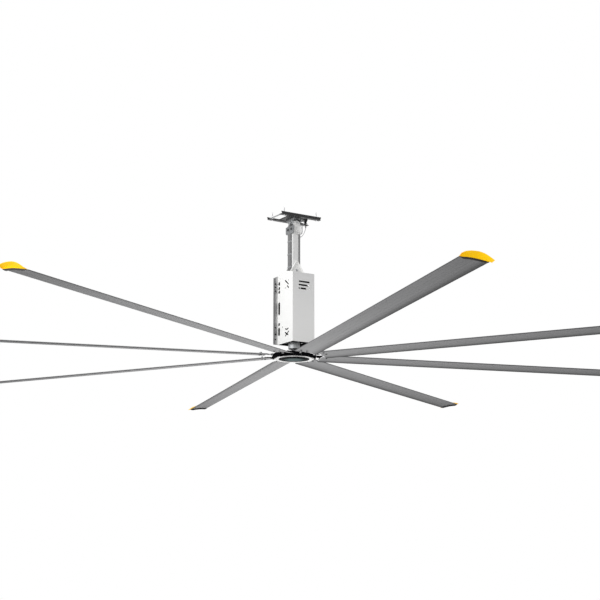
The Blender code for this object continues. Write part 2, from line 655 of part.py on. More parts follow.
def make_frame(pivot):
    top, bottom = FRAME_TOP - PIVOT_Z, FRAME_BOTTOM - PIVOT_Z
    left, right, front, back = FRAME_LEFT, FRAME_RIGHT, FRAME_FRONT, FRAME_BACK
    outline = [(left - FLANGE_WIDTH, back), (left, back), (left, front), (right, front), (right, back),
               (right + FLANGE_WIDTH, back), (right + FLANGE_WIDTH, back + SHEET),
               (right - SHEET, back + SHEET), (right - SHEET, front + SHEET), (left + SHEET, front + SHEET),
               (left + SHEET, back + SHEET), (left - FLANGE_WIDTH, back + SHEET)]
    frame = add_object("motor_frame", slab_mesh("motor_frame", outline, top + GABLE_RISE - bottom,
                       plane_xy(bottom)), GREY_PAINT, pivot)
    over = top + GABLE_RISE + OVERRUN
    gable = [(back + SHEET + OVERRUN, over), (back + SHEET + OVERRUN, top), (back, top),
             (GABLE_HALF_FLAT, top + GABLE_RISE), (-GABLE_HALF_FLAT, top + GABLE_RISE), (front + SHEET, top),
             (front - OVERRUN, top), (front - OVERRUN, over)]
    reach = FLANGE_WIDTH + OVERRUN
    cutters = [slab_mesh("gable", gable, right - left + 2 * reach, plane_yz(left - reach))]
    for edge, side in ((left, -1), (right, 1)):
        tip = edge + side * FLANGE_WIDTH
        clip = [(edge + side * SHEET, top + OVERRUN), (edge + side * SHEET, top), (tip, top - FLANGE_CLIP),
                (tip + side * OVERRUN, top - FLANGE_CLIP), (tip + side * OVERRUN, top + OVERRUN)]
        cutters.append(slab_mesh("clip", clip, SHEET + 2 * OVERRUN, plane_xz(back - OVERRUN)))
    combine(frame, cutters + front_cutters() + side_cutters())
    cover_front = back + SHEET + GAP
    add_object("rear_cover", box_mesh("rear_cover", (left - FLANGE_WIDTH, cover_front, bottom),
               (right + FLANGE_WIDTH, cover_front + COVER_THICK, top - FLANGE_CLIP)), GREY_PAINT, pivot)
    inset = SHEET + GAP
    plate = [(left + inset, front + inset), (right - inset, front + inset),
             (right - inset, back + SHEET), (left + inset, back + SHEET)]
    hole = square_outline(TUBE_SIZE / 2 + GAP, TUBE_CHAMFER)
    add_object("top_plate", slab_mesh("top_plate", plate, TOP_PLATE_THICK,
               plane_xy(top - TOP_PLATE_SINK - TOP_PLATE_THICK), [hole]), GREY_PAINT, pivot)
    neck = circle(NECK_RADIUS + GAP, 24)
    add_object("base_plate", slab_mesh("base_plate", plate, BASE_PLATE_THICK, plane_xy(BASE_BOTTOM - PIVOT_Z),
               [neck]), BLACK_STEEL, pivot)


def stadium(radius, steps=10):
    """The outline round both gear axes."""
    points = []
    for centre, start in ((GEAR_DISTANCE, -math.pi / 2), (0, math.pi / 2)):
        for step in range(steps + 1):
            angle = start + math.pi * step / steps
            points.append((centre + radius * math.cos(angle), radius * math.sin(angle)))
    return points


def make_reducer(pivot):
    bottom = REDUCER_BOTTOM - PIVOT_Z
    cavity = stadium(REDUCER_RADIUS - REDUCER_WALL)
    case = add_object("gearbox_housing", slab_mesh("gearbox_housing", stadium(REDUCER_RADIUS),
                      REDUCER_TOP - REDUCER_BOTTOM, plane_xy(bottom)), CAST_METAL, pivot)
    neck = turned_mesh("neck", rod_profile(NECK_RADIUS, bottom - NECK_LENGTH, bottom + WELD), 24)
    combine(case, [neck], "UNION")
    floor = FLOOR_TOP - PIVOT_Z
    mouth = bottom - NECK_LENGTH
    seat_top = mouth + BEARING_RAISE + BEARING_HEIGHT + GAP
    bored = [(0, mouth - OVERRUN), (BEARING_RADIUS + GAP, mouth - OVERRUN), (BEARING_RADIUS + GAP, seat_top),
             (OUTPUT_RADIUS + RUNNING, seat_top), (OUTPUT_RADIUS + RUNNING, floor + OVERRUN),
             (0, floor + OVERRUN)]
    journal = rod_profile(LAYSHAFT_RADIUS + RUNNING, floor - JOURNAL_DEPTH, floor + OVERRUN)
    cuts = [turned_mesh("bore", bored, 24),
            slab_mesh("cavity", cavity, REDUCER_TOP - FLOOR_TOP + OVERRUN, plane_xy(floor)),
            turned_mesh("journal", journal, 16, Matrix.Translation((GEAR_DISTANCE, 0, 0)))]
    combine(case, cuts)
    low = mouth + BEARING_RAISE
    race = [(OUTPUT_RADIUS + RUNNING, low), (BEARING_RADIUS, low), (BEARING_RADIUS, low + BEARING_HEIGHT),
            (OUTPUT_RADIUS + RUNNING, low + BEARING_HEIGHT)]
    add_object("output_bearing", turned_mesh("output_bearing", race, 24), BOLT_STEEL, pivot)


def make_motor(pivot):
    bottom, body, top = (height - PIVOT_Z for height in (MOTOR_BOTTOM, MOTOR_BODY_Z, MOTOR_TOP))
    fins = []
    for fin in range(FIN_COUNT):
        middle, half = 2 * math.pi * (fin + 0.5) / FIN_COUNT, math.pi / FIN_COUNT * FIN_SHARE
        for radius, spread in ((MOTOR_RADIUS, -half), (MOTOR_RADIUS + FIN_HEIGHT, -half / 2),
                               (MOTOR_RADIUS + FIN_HEIGHT, half / 2), (MOTOR_RADIUS, half)):
            fins.append((radius * math.cos(middle + spread), radius * math.sin(middle + spread)))
    shell = add_object("motor_housing", slab_mesh("motor_housing", fins, top - body + WELD,
                       plane_xy(body - WELD)), MOTOR_PAINT, pivot)
    flange = slab_mesh("flange", stadium(REDUCER_RADIUS), MOTOR_FLANGE, plane_xy(bottom))
    combine(shell, [flange], "UNION")
    bore_start = body + MOTOR_END_WALL
    shaft = rod_profile(MOTOR_SHAFT_RADIUS + RUNNING, bottom - OVERRUN, bore_start + OVERRUN)
    journal = rod_profile(LAYSHAFT_RADIUS + RUNNING, bottom - OVERRUN, bottom + JOURNAL_DEPTH)
    cuts = [turned_mesh("bore", rod_profile(STATOR_OUTER + GAP, bore_start, top + OVERRUN), 32),
            turned_mesh("shaft", shaft, 16),
            turned_mesh("journal", journal, 16, Matrix.Translation((GEAR_DISTANCE, 0, 0)))]
    combine(shell, cuts)
    low, high = bore_start + GAP, top - STATOR_INSET
    stack = [(STATOR_INNER, low), (STATOR_OUTER, low), (STATOR_OUTER, high), (STATOR_INNER, high)]
    add_object("stator", turned_mesh("stator", stack, 32), COPPER_STACK, pivot)
    low, high = COWL_BOTTOM - PIVOT_Z, COWL_TOP - PIVOT_Z
    bore, outer = MOTOR_SHAFT_RADIUS + RUNNING, MOTOR_RADIUS + FIN_HEIGHT - WELD
    cowl = [(bore, low), (outer, low), (outer, high), (COWL_INLET_RADIUS, high),
            (COWL_INLET_RADIUS, high - COWL_WALL), (outer - COWL_WALL, high - COWL_WALL),
            (outer - COWL_WALL, low + COWL_END_WALL), (bore, low + COWL_END_WALL)]
    add_object("motor_cowl", turned_mesh("motor_cowl", cowl, 28), MOTOR_PAINT, pivot)
    start = MOTOR_RADIUS + FIN_HEIGHT + GAP
    box_low = body + TERMINAL_RAISE
    add_object("terminal_box", box_mesh("terminal_box", (start, -TERMINAL_HALF_WIDTH, box_low),
               (start + TERMINAL_DEPTH, TERMINAL_HALF_WIDTH, box_low + TERMINAL_HEIGHT)), MOTOR_PAINT, pivot)


def make_motor_rotor(axis):
    """Shaft, core, pinion and cooling fan, turning as one piece inside the motor."""
    pinion_bottom = HIGH_GEAR_Z - PINION_EXTRA
    gear_top = HIGH_GEAR_Z + HIGH_GEAR_FACE + PINION_EXTRA
    core_low, core_high = MOTOR_BODY_Z + MOTOR_END_WALL + STATOR_INSET, MOTOR_TOP - 2 * STATOR_INSET
    fan_low = COWL_BOTTOM + COWL_END_WALL + 2 * GEAR_CLEAR
    radius = MOTOR_SHAFT_RADIUS
    profile = [(0, gear_top - WELD), (radius, gear_top - WELD), (radius, core_low),
               (ROTOR_CORE_RADIUS, core_low), (ROTOR_CORE_RADIUS, core_high), (radius, core_high),
               (radius, fan_low), (FAN_RADIUS, fan_low), (FAN_RADIUS, fan_low + FAN_THICK),
               (0, fan_low + FAN_THICK)]
    local = [(r, z - BLADE_Z) for r, z in profile]
    rotor = add_object("motor_rotor", turned_mesh("motor_rotor", local, 24), BOLT_STEEL, axis)
    pinion = slab_mesh("pinion", gear_outline(PINION_TEETH, 0.5), gear_top - pinion_bottom,
                       plane_xy(pinion_bottom - BLADE_Z))
    combine(rotor, [pinion], "UNION")


def make_layshaft(axis):
    """A wheel driven by the motor's pinion, on one shaft with a pinion that drives the output wheel."""
    start, end = FLOOR_TOP - JOURNAL_DEPTH + GAP, MOTOR_BOTTOM + JOURNAL_DEPTH - GAP
    shaft = turned_mesh("layshaft", rod_profile(LAYSHAFT_RADIUS, start - BLADE_Z, end - BLADE_Z), 16)
    made = add_object("layshaft", shaft, BOLT_STEEL, axis)
    wheel = slab_mesh("wheel", gear_outline(WHEEL_TEETH, 0.0), HIGH_GEAR_FACE,
                      plane_xy(HIGH_GEAR_Z - BLADE_Z))
    low = LOW_GEAR_Z - PINION_EXTRA
    pinion = slab_mesh("pinion", gear_outline(PINION_TEETH, 0.0), LOW_GEAR_FACE + 2 * PINION_EXTRA,
                       plane_xy(low - BLADE_Z))
    combine(made, [wheel, pinion], "UNION")


def make_output_shaft(axis):
    flange = HUB_TOP + GAP - BLADE_Z
    profile = [(0, flange - PILOT_DEPTH), (OUTPUT_RADIUS, flange - PILOT_DEPTH), (OUTPUT_RADIUS, flange),
               (SHAFT_FLANGE_RADIUS, flange), (SHAFT_FLANGE_RADIUS, flange + SHAFT_FLANGE_THICK),
               (OUTPUT_RADIUS, flange + SHAFT_FLANGE_THICK), (OUTPUT_RADIUS, OUTPUT_TOP - BLADE_Z),
               (0, OUTPUT_TOP - BLADE_Z)]
    shaft = add_object("output_shaft", turned_mesh("output_shaft", profile, 24), BOLT_STEEL, axis)
    turn = Matrix.Rotation(-ROTOR_REST_ANGLE, 4, "Z")
    wheel = slab_mesh("wheel", gear_outline(WHEEL_TEETH, 0.5), LOW_GEAR_FACE,
                      turn @ plane_xy(LOW_GEAR_Z - BLADE_Z))
    combine(shaft, [wheel], "UNION")


def octagon(apothem):
    """Eight flats that face the blades, with slightly blunted corners."""
    radius = apothem / math.cos(math.pi / BLADE_COUNT - CORNER_BLUNT)
    points = []
    for corner in range(BLADE_COUNT):
        for blunt in (-CORNER_BLUNT, CORNER_BLUNT):
            angle = 2 * math.pi * (corner + 0.5) / BLADE_COUNT + blunt
            points.append((radius * math.cos(angle), radius * math.sin(angle)))
    return points


def pitched(mesh):
    mesh.transform(Matrix.Rotation(-BLADE_PITCH, 4, "X"))
    return mesh


def make_hub(axis):
    hub = add_object("hub", slab_mesh("hub", octagon(HUB_APOTHEM), HUB_THICK, plane_xy(HUB_FOOT),
                     [circle(OUTPUT_RADIUS + GAP, 24)]), BLACK_STEEL, axis)
    pockets = []
    half_width, half_thick = STRUT_WIDTH / 2 + GAP, STRUT_THICK / 2 + GAP
    for number in range(BLADE_COUNT):
        pocket = pitched(box_mesh("pocket", (POCKET_START, -half_width, -half_thick),
                                  (HUB_APOTHEM + 2 * OVERRUN, half_width, half_thick)))
        pocket.transform(Matrix.Rotation(2 * math.pi * number / BLADE_COUNT, 4, "Z"))
        pockets.append(pocket)
    combine(hub, pockets)
    under = HUB_FOOT - GAP
    add_object("hub_ring", slab_mesh("hub_ring", octagon(RING_APOTHEM), RING_THICK,
               plane_xy(under - RING_THICK), [circle(RING_INNER, RING_SIDES)]), WHITE_PAINT, axis)
    rim = RING_INNER - GAP
    profile = [(0, under), (rim, under), (rim, under - CAP_THICK), (CAP_DOME_RADIUS, under - CAP_THICK)]
    steps = 4
    for step in range(1, steps):
        angle = math.pi / 2 * step / steps
        profile.append((CAP_DOME_RADIUS * math.cos(angle), under - CAP_THICK - CAP_DOME * math.sin(angle)))
    profile.append((0, under - CAP_THICK - CAP_DOME))
    add_object("hub_cap", turned_mesh("hub_cap", profile, RING_SIDES), CAP_GLOSS, axis)


def height_at(shares, place):
    """The section's height share at a place along the chord."""
    ordered = sorted(shares)
    for (low, a), (high, b) in zip(ordered, ordered[1:]):
        if low <= place <= high:
            return a + (b - a) * (place - low) / (high - low)
    return ordered[-1][1]


STRUT_EDGE_SHARES = [SPAR_SHARE + side * STRUT_WIDTH / 2 / BLADE_CHORD for side in (-1, 1)]
MID_HEIGHT = (min(height_at(UPPER_SHARES, place) for place in STRUT_EDGE_SHARES)
              + max(height for _, height in LOWER_SHARES)) / 2


def section_point(place, height):
    """A point of the blade's section, from shares of the chord, about the strut's centre."""
    return ((place - SPAR_SHARE) * BLADE_CHORD, (height - MID_HEIGHT) * BLADE_CHORD)


def cell_outline(start, end, places):
    """The hollow between two places along the chord, one wall inside the skin."""
    wall = BLADE_WALL / BLADE_CHORD
    upper = [section_point(p, height_at(UPPER_SHARES, p) - wall) for p in places if start <= p <= end]
    lower = [section_point(p, height_at(LOWER_SHARES, p) + wall) for p in places if start <= p <= end]
    return upper + lower[::-1]


def blade_mesh():
    wall = BLADE_WALL / BLADE_CHORD
    outline = [section_point(*pair) for pair in (*UPPER_SHARES, *LOWER_SHARES)]
    spar = cell_outline(SPAR_CELL_START_SHARE, SPAR_CELL_END_SHARE,
                        (SPAR_CELL_START_SHARE, *CELL_KINK_SHARES, SPAR_CELL_END_SHARE))
    tail = cell_outline(SPAR_CELL_END_SHARE + wall, TAIL_CELL_END_SHARE,
                        (SPAR_CELL_END_SHARE + wall, TAIL_CELL_END_SHARE))
    body = slab_mesh("blade", outline, ROTOR_RADIUS - BLADE_ROOT, plane_yz(BLADE_ROOT), [spar, tail],
                     math.radians(35))
    blank = bpy.data.objects.new("blade_blank", body)
    bpy.context.scene.collection.objects.link(blank)
    holes = [turned_mesh("hole", rod_profile(ROOT_BOLT_RADIUS + GAP, -BLADE_CHORD / 2, BLADE_CHORD / 2), 8,
                         Matrix.Translation((ROOT_BOLT_REACH, side * ROOT_BOLT_SPREAD / 2, 0)))
             for side in (-1, 1)]
    combine(blank, holes)
    mesh = blank.data
    bpy.data.objects.remove(blank, do_unlink=True)
    return pitched(mesh)


def strut_mesh():
    """A flat bar with the two bolts that hold the blade on it."""
    bar = box_mesh("strut", (POCKET_START + GAP, -STRUT_WIDTH / 2, -STRUT_THICK / 2),
                   (STRUT_END, STRUT_WIDTH / 2, STRUT_THICK / 2))
    blank = bpy.data.objects.new("strut_blank", bar)
    bpy.context.scene.collection.objects.link(blank)
    bolts = []
    for side in (-1, 1):
        middle = SPAR_SHARE + side * ROOT_BOLT_SPREAD / 2 / BLADE_CHORD
        rims = [middle + way * ROOT_HEAD_RADIUS / BLADE_CHORD for way in (-1, 1)]
        top = max(section_point(rim, height_at(UPPER_SHARES, rim))[1] for rim in rims) + GAP
        low = min(section_point(rim, height_at(LOWER_SHARES, rim))[1] for rim in rims) - GAP
        profile = bolt_profile(ROOT_BOLT_RADIUS, ROOT_HEAD_RADIUS, ROOT_HEAD_HEIGHT, low, top)
        bolts.append(turned_mesh("bolt", profile, 8,
                                 Matrix.Translation((ROOT_BOLT_REACH, side * ROOT_BOLT_SPREAD / 2, 0))))
    combine(blank, bolts, "UNION")
    mesh = blank.data
    bpy.data.objects.remove(blank, do_unlink=True)
    return pitched(mesh)


def winglet_mesh():
    """A curved fin across the blade's end, on a cap that closes it, with a tongue in the spar cell."""
    start = ROTOR_RADIUS + GAP
    cap = slab_mesh("winglet", [section_point(*pair) for pair in (*UPPER_SHARES, *LOWER_SHARES)], FIN_WALL,
                    plane_yz(start))
    fin = bmesh.new()
    rows = []
    for station in range(FIN_STATIONS):
        share = station / (FIN_STATIONS - 1)
        along = -FIN_LEAD + share * (BLADE_CHORD + FIN_LEAD + FIN_TRAIL)
        place = min(max(along / BLADE_CHORD, 0.0), 1.0)
        centre = along - SPAR_SHARE * BLADE_CHORD
        foot = section_point(place, height_at(LOWER_SHARES, max(place, LOWER_SHARES[-1][0])))[1]
        droop = max(along - BLADE_CHORD, 0) * FIN_DROOP_SHARE
        foot -= droop
        deck = section_point(place, height_at(UPPER_SHARES, place))[1] - droop
        rise = FIN_PEAK * FIN_RISE_SHARES[station]
        drift = FIN_SWEEP * share ** 3
        wall = FIN_WALL * (1 - FIN_TAPER_SHARE * share)
        bend_rise, bend_lean = FIN_BEND_SHARES
        levels = [(foot, 0.0), (deck, FIN_DECK_LEAN_SHARE), (deck + rise * bend_rise, bend_lean),
                  (deck + rise, 1.0)]
        inner = [(start + drift + FIN_LEAN * lean, z) for z, lean in levels]
        outer = [(x + wall, z - wall * lean) for (x, z), (_, lean) in zip(inner, levels)]
        ring = [(x, centre, z) for x, z in (*inner, *outer[::-1])]
        rows.append([fin.verts.new(point) for point in ring])
    for first, second in zip(rows, rows[1:]):
        for step in range(len(first)):
            after = (step + 1) % len(first)
            fin.faces.new((first[step], first[after], second[after], second[step]))
    fin.faces.new(rows[0])
    fin.faces.new(rows[-1])
    tongue_half = STRUT_WIDTH / 2 - BLADE_WALL
    tongue = box_mesh("tongue", (ROTOR_RADIUS - TONGUE_LENGTH, -tongue_half, -TONGUE_THICK / 2),
                      (start + WELD, tongue_half, TONGUE_THICK / 2))
    blank = bpy.data.objects.new("winglet_blank", cap)
    bpy.context.scene.collection.objects.link(blank)
    combine(blank, [finish_mesh("fin", fin), tongue], "UNION")
    mesh = blank.data
    bpy.data.objects.remove(blank, do_unlink=True)
    mesh.shade_smooth()
    mesh.set_sharp_from_angle(angle=math.radians(50))
    return pitched(mesh)


def make_blades(axis):
    kinds = (("blade", blade_mesh(), BLADE_METAL), ("blade_strut", strut_mesh(), BLACK_STEEL),
             ("winglet", winglet_mesh(), YELLOW_PLASTIC))
    for label, mesh, finish in kinds:
        mesh.materials.clear()
        mesh.materials.append(material(label + "_finish", *finish))
        for number in range(BLADE_COUNT):
            made = add_object(label + "_" + str(number + 1), mesh, parent=axis)
            made.rotation_euler.z = 2 * math.pi * number / BLADE_COUNT


def make_cable_parts(pivot):
    low_y, high_y = BRACKET_CENTRE_Y - BRACKET_WIDTH / 2, BRACKET_CENTRE_Y + BRACKET_WIDTH / 2
    edge = PLATE_LENGTH / 2
    bracket = add_object("cable_bracket", box_mesh("cable_bracket", (EAR_OUTER + BRACKET_CLEAR, low_y,
                         UNDER_PLATE - BRACKET_THICK), (edge, high_y, UNDER_PLATE)), BLACK_STEEL)
    hole_z = UNDER_PLATE - LUG_HOLE_DROP
    lug = ear_outline(BRACKET_WIDTH / 2, UNDER_PLATE, hole_z, LUG_DROP - LUG_HOLE_DROP)
    lug = [(y + BRACKET_CENTRE_Y, z) for y, z in lug]
    hole = circle(LUG_HOLE_RADIUS, 12, (BRACKET_CENTRE_Y, hole_z))
    combine(bracket, [slab_mesh("lug", lug, BRACKET_THICK, plane_yz(edge - WELD), [hole])], "UNION")
    ring_x, ring_z = edge - WELD + BRACKET_THICK / 2, hole_z - RING_RADIUS
    shape = bmesh.new()
    turns, sides = 18, 6
    rings = []
    for turn in range(turns):
        a = 2 * math.pi * turn / turns
        spots = [(RING_RADIUS + RING_WIRE * math.cos(b), RING_WIRE * math.sin(b))
                 for b in (2 * math.pi * side / sides for side in range(sides))]
        rings.append([shape.verts.new((ring_x + r * math.cos(a), BRACKET_CENTRE_Y + h,
                                       ring_z + r * math.sin(a))) for r, h in spots])
    for turn in range(turns):
        near, far = rings[turn], rings[(turn + 1) % turns]
        for side in range(sides):
            after = (side + 1) % sides
            shape.faces.new((near[side], near[after], far[after], far[side]))
    add_object("cable_ring", finish_mesh("cable_ring", shape, math.radians(60)), BLACK_STEEL)
    make_cable(pivot, Vector((ring_x, BRACKET_CENTRE_Y, ring_z - RING_RADIUS - RING_WIRE - GAP)))


def make_cable(pivot, start):
    """A slack wire rope from the ring to the tube, with a crimped ferrule at each end."""
    end = Vector((TUBE_SIZE / 2 + GAP, CABLE_END_Y, -CABLE_END_DROP))
    down, outward = Vector((0, 0, -1)), Vector((1, 0, 0))
    top, foot = start + FERRULE_LENGTH * down, end + FERRULE_LENGTH * outward
    knots = [top, top + CABLE_BULGE * down, foot + CABLE_BULGE * outward, foot]
    points, radii = [start, top - WELD * down], [FERRULE_RADIUS, FERRULE_RADIUS]
    for step in range(CABLE_STEPS + 1):
        t = step / CABLE_STEPS
        shares = ((1 - t) ** 3, 3 * t * (1 - t) ** 2, 3 * t ** 2 * (1 - t), t ** 3)
        points.append(sum((knot * share for knot, share in zip(knots, shares)), Vector((0, 0, 0))))
        radii.append(CABLE_RADIUS)
    points += [foot - WELD * outward, end]
    radii += [FERRULE_RADIUS, FERRULE_RADIUS]
    curve = bpy.data.curves.new("safety_cable", "CURVE")
    curve.dimensions = "3D"
    curve.bevel_depth = 1.0
    curve.bevel_resolution = 2
    curve.use_fill_caps = True
    spline = curve.splines.new("POLY")
    spline.points.add(len(points) - 1)
    for item, spot, radius in zip(spline.points, points, radii):
        item.co = (*(spot - pivot.location), 1)
        item.radius = radius
    add_object("safety_cable", curve, BOLT_STEEL, pivot)


clear_scene()
swivel_axis = axis_empty("swivel_axis", (0, 0, PIVOT_Z))
rotor_axis = axis_empty("rotor_axis", (0, 0, BLADE_Z), swivel_axis)
rotor_axis.rotation_euler.z = ROTOR_REST_ANGLE
motor_axis = axis_empty("motor_axis", (0, 0, BLADE_Z), swivel_axis)
layshaft_axis = axis_empty("layshaft_axis", (GEAR_DISTANCE, 0, BLADE_Z), swivel_axis)
bpy.context.view_layer.update()
make_mounting()
make_upper_yoke()
make_swivel(swivel_axis)
lower_yoke = make_lower_yoke(swivel_axis)
make_tube_and_bolts(swivel_axis, lower_yoke)
make_gussets(swivel_axis)
make_frame(swivel_axis)
make_reducer(swivel_axis)
make_motor(swivel_axis)
make_motor_rotor(motor_axis)
make_layshaft(layshaft_axis)
make_output_shaft(rotor_axis)
make_hub(rotor_axis)
make_blades(rotor_axis)
make_cable_parts(swivel_axis)
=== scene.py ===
# Looks of the big ceiling fan: finishes, fine blades and tip fins, fasteners, cable and studio.
# Metres, +Z up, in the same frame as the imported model: the beam seat is at the origin.

import bmesh
import bpy
import json
from math import atan2, cos, pi, radians, sin, sqrt, tau
from mathutils import Matrix, Vector
from mathutils.geometry import interpolate_bezier


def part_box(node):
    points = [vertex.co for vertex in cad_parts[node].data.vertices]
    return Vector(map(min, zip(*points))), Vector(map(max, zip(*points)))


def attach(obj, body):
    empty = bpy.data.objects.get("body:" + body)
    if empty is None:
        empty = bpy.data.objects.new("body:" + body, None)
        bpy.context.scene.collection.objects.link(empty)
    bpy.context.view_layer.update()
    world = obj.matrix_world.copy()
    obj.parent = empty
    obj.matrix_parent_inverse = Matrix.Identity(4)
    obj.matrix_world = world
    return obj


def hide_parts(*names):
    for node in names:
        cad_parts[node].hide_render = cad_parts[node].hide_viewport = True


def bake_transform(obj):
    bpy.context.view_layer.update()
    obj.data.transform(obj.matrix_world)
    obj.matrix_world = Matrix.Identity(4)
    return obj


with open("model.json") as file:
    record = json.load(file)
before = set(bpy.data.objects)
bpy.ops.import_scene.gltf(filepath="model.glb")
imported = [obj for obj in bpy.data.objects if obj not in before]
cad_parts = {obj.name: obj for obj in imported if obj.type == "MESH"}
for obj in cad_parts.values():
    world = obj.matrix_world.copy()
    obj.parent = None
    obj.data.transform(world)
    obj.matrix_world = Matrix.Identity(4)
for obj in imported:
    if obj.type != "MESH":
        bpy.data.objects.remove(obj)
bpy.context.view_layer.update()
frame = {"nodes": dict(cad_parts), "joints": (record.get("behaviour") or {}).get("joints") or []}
nodes = frame["nodes"]
rotorPoint = next(Vector(joint["pos_m"]) for joint in frame["joints"] if joint["name"] == "rotor_spin")
bladeNumbers = range(1, 1 + sum(name.startswith("blade_strut_") for name in nodes))
up, down, toFront = Vector((0, 0, 1)), Vector((0, 0, -1)), Vector((0, -1, 0))
toLeft, toRight = Vector((-1, 0, 0)), Vector((1, 0, 0))
print("frame loaded,", len(nodes), "nodes")


# Shader building
def sumOf(operation, swapped=False):  # a method that wires two values into one sum
    def method(self, other):
        pair = (other, self) if swapped else (self, other)
        return self.wiring.node("Math", dict(enumerate(pair)), operation=operation)
    return method


class Wire:  # a shader socket that can stand in a sum
    def __init__(self, wiring, socket):
        self.wiring = wiring
        self.socket = socket

    __add__, __radd__ = sumOf("ADD"), sumOf("ADD", True)
    __sub__, __rsub__ = sumOf("SUBTRACT"), sumOf("SUBTRACT", True)
    __mul__, __rmul__ = sumOf("MULTIPLY"), sumOf("MULTIPLY", True)
    __gt__, __lt__ = sumOf("GREATER_THAN"), sumOf("LESS_THAN")


class Wiring:  # a node tree, with a short way to add its nodes
    def __init__(self, tree):
        self.tree = tree

    def node(self, kind, sockets, take=0, **settings):
        made = self.tree.nodes.new("ShaderNode" + kind)
        for setting, value in settings.items():
            setattr(made, setting, value)
        for socket, value in sockets.items():
            self.join(made.inputs[socket], value)
        return Wire(self, made.outputs[take])

    def join(self, entry, value):
        if isinstance(value, Wire):
            self.tree.links.new(value.socket, entry)
        else:
            entry.default_value = value

    def clamped(self, wire):
        return self.node("Clamp", {"Value": wire})

    def seen(self):  # 1 for what the eye meets straight, in a mirror or through glass
        kinds = ("Camera", "Glossy", "Transmission")
        straight, mirrored, passed = [self.node("LightPath", {}, f"Is {kind} Ray") for kind in kinds]
        return self.clamped(straight + mirrored + passed)


shaderSockets = {
    "metallic": "Metallic", "ior": "IOR", "specular": "Specular IOR Level", "glow": "Emission Strength",
}


class Finish(Wiring):  # one material made from its values, and the place that its patterns follow
    def __init__(self, name, values):
        self.values = values
        self.material = bpy.data.materials.new(name)
        self.material.use_nodes = True
        super().__init__(self.material.node_tree)
        self.shader = self.tree.nodes["Principled BSDF"]
        if values.get("laid"):  # the place on the piece before it was turned into position
            self.place = self.node("Attribute", {}, "Vector", attribute_name="laid")
        else:
            self.place = self.node("TexCoord", {}, "Object")
        for label, socket in shaderSockets.items():
            if label in values:
                self.feed(socket, values[label])

    def feed(self, socket, value):
        self.join(self.shader.inputs[socket], value)

    def noise(self, scale, detail=2.0, rough=0.5, place=None):
        sockets = {"Vector": place or self.place, "Scale": scale, "Detail": detail, "Roughness": rough}
        return self.node("TexNoise", sockets)

    def streaks(self, scales, detail=3.0, rough=0.5):  # noise stretched by a scale for each axis
        stretched = self.node("Mapping", {"Vector": self.place, "Scale": scales})
        return self.noise(1.0, detail, rough, stretched)

    def axis(self, letter):
        return self.node("SeparateXYZ", {"Vector": self.place}, letter)

    def mixed(self, share, first, second, blend="MIX"):
        return self.node("Mix", {0: share, 6: first, 7: second}, 2, data_type="RGBA", blend_type=blend)

    def worn(self):  # how bare the sharp edges are, 0 on flat faces
        values = self.values
        rounded = self.node("Bevel", {"Radius": values["edgeWidth"]}, "Normal", samples=4)
        flat = self.node("NewGeometry", {}, "Normal")
        match = self.node("VectorMath", {0: rounded, 1: flat}, "Value", operation="DOT_PRODUCT")
        return self.clamped((1 - match) * values["edgeGain"]) * values["wear"]

    def finished(self, base, unevenness, height):  # unevenness roughens the surface and height dents it
        values = self.values
        bump = {"Height": height, "Strength": values["bump"], "Distance": values["bumpDepth"]}
        self.feed("Base Color", base)
        self.feed("Roughness", values["roughness"] + values["roughGain"] * unevenness)
        self.feed("Normal", self.node("Bump", bump, "Normal"))
        return self.material


def tone(red, green, blue):
    return (red, green, blue, 1.0)


def grey(level, blue=None):
    return tone(level, level, blue or level)


basePaint = {
    "wearNoise": (60.0, 3.0), "edgeGain": 2.2, "edgeWidth": 0.001, "roughGain": 0.14, "ior": 1.46,
    "bump": 0.25, "bumpDepth": 0.0002,
}
whitePaint = {
    **basePaint, "dark": grey(0.87, 0.86), "light": grey(0.93, 0.92), "bare": grey(0.55), "wear": 0.5,
    "mottlingNoise": (8.0, 4.0), "peelScale": 850.0, "roughness": 0.38, "edgeWidth": 0.0012,
}
tubePaint = {
    **whitePaint, "dark": grey(0.74, 0.735), "light": grey(0.80, 0.795), "bare": grey(0.50), "wear": 0.4,
}
sheetPaint = {
    **whitePaint, "dark": grey(0.90, 0.89), "light": grey(0.95, 0.94), "wear": 0.35, "wearNoise": (7.0, 4.0),
    "mottlingNoise": (7.0, 4.0), "edgeGain": 1.8, "roughness": 0.40, "roughGain": 0.15,
}
blackPaint = {
    **basePaint, "dark": grey(0.008, 0.009), "light": grey(0.020, 0.022), "bare": grey(0.16, 0.165),
    "wear": 0.9, "mottlingNoise": (12.0, 4.0), "peelScale": 700.0, "roughness": 0.36, "edgeWidth": 0.0012,
    "ior": 1.38,
}
hubPaint = {
    **blackPaint, "dark": grey(0.002, 0.003), "light": grey(0.006, 0.007), "bare": grey(0.07, 0.075),
    "wear": 0.5, "peelScale": 600.0, "ior": 1.02,
}
motorPaint = {
    **basePaint, "dark": tone(0.012, 0.016, 0.020), "light": tone(0.024, 0.029, 0.034),
    "bare": grey(0.2, 0.21), "wear": 0.5, "mottlingNoise": (18.0, 4.0), "peelScale": 500.0,
    "roughness": 0.42, "ior": 1.30,
}
# dark grey duct and conduit paints: painted shade on the tube's left face and front edge
ductShadePaint = {
    **basePaint, "dark": grey(0.150, 0.152), "light": grey(0.230, 0.232), "bare": grey(0.40), "wear": 0.6,
    "mottlingNoise": (14.0, 4.0), "peelScale": 900.0, "roughness": 0.45,
}
conduitShadePaint = {**ductShadePaint, "dark": grey(0.180, 0.182), "light": grey(0.235, 0.237), "bare": grey(0.45)}


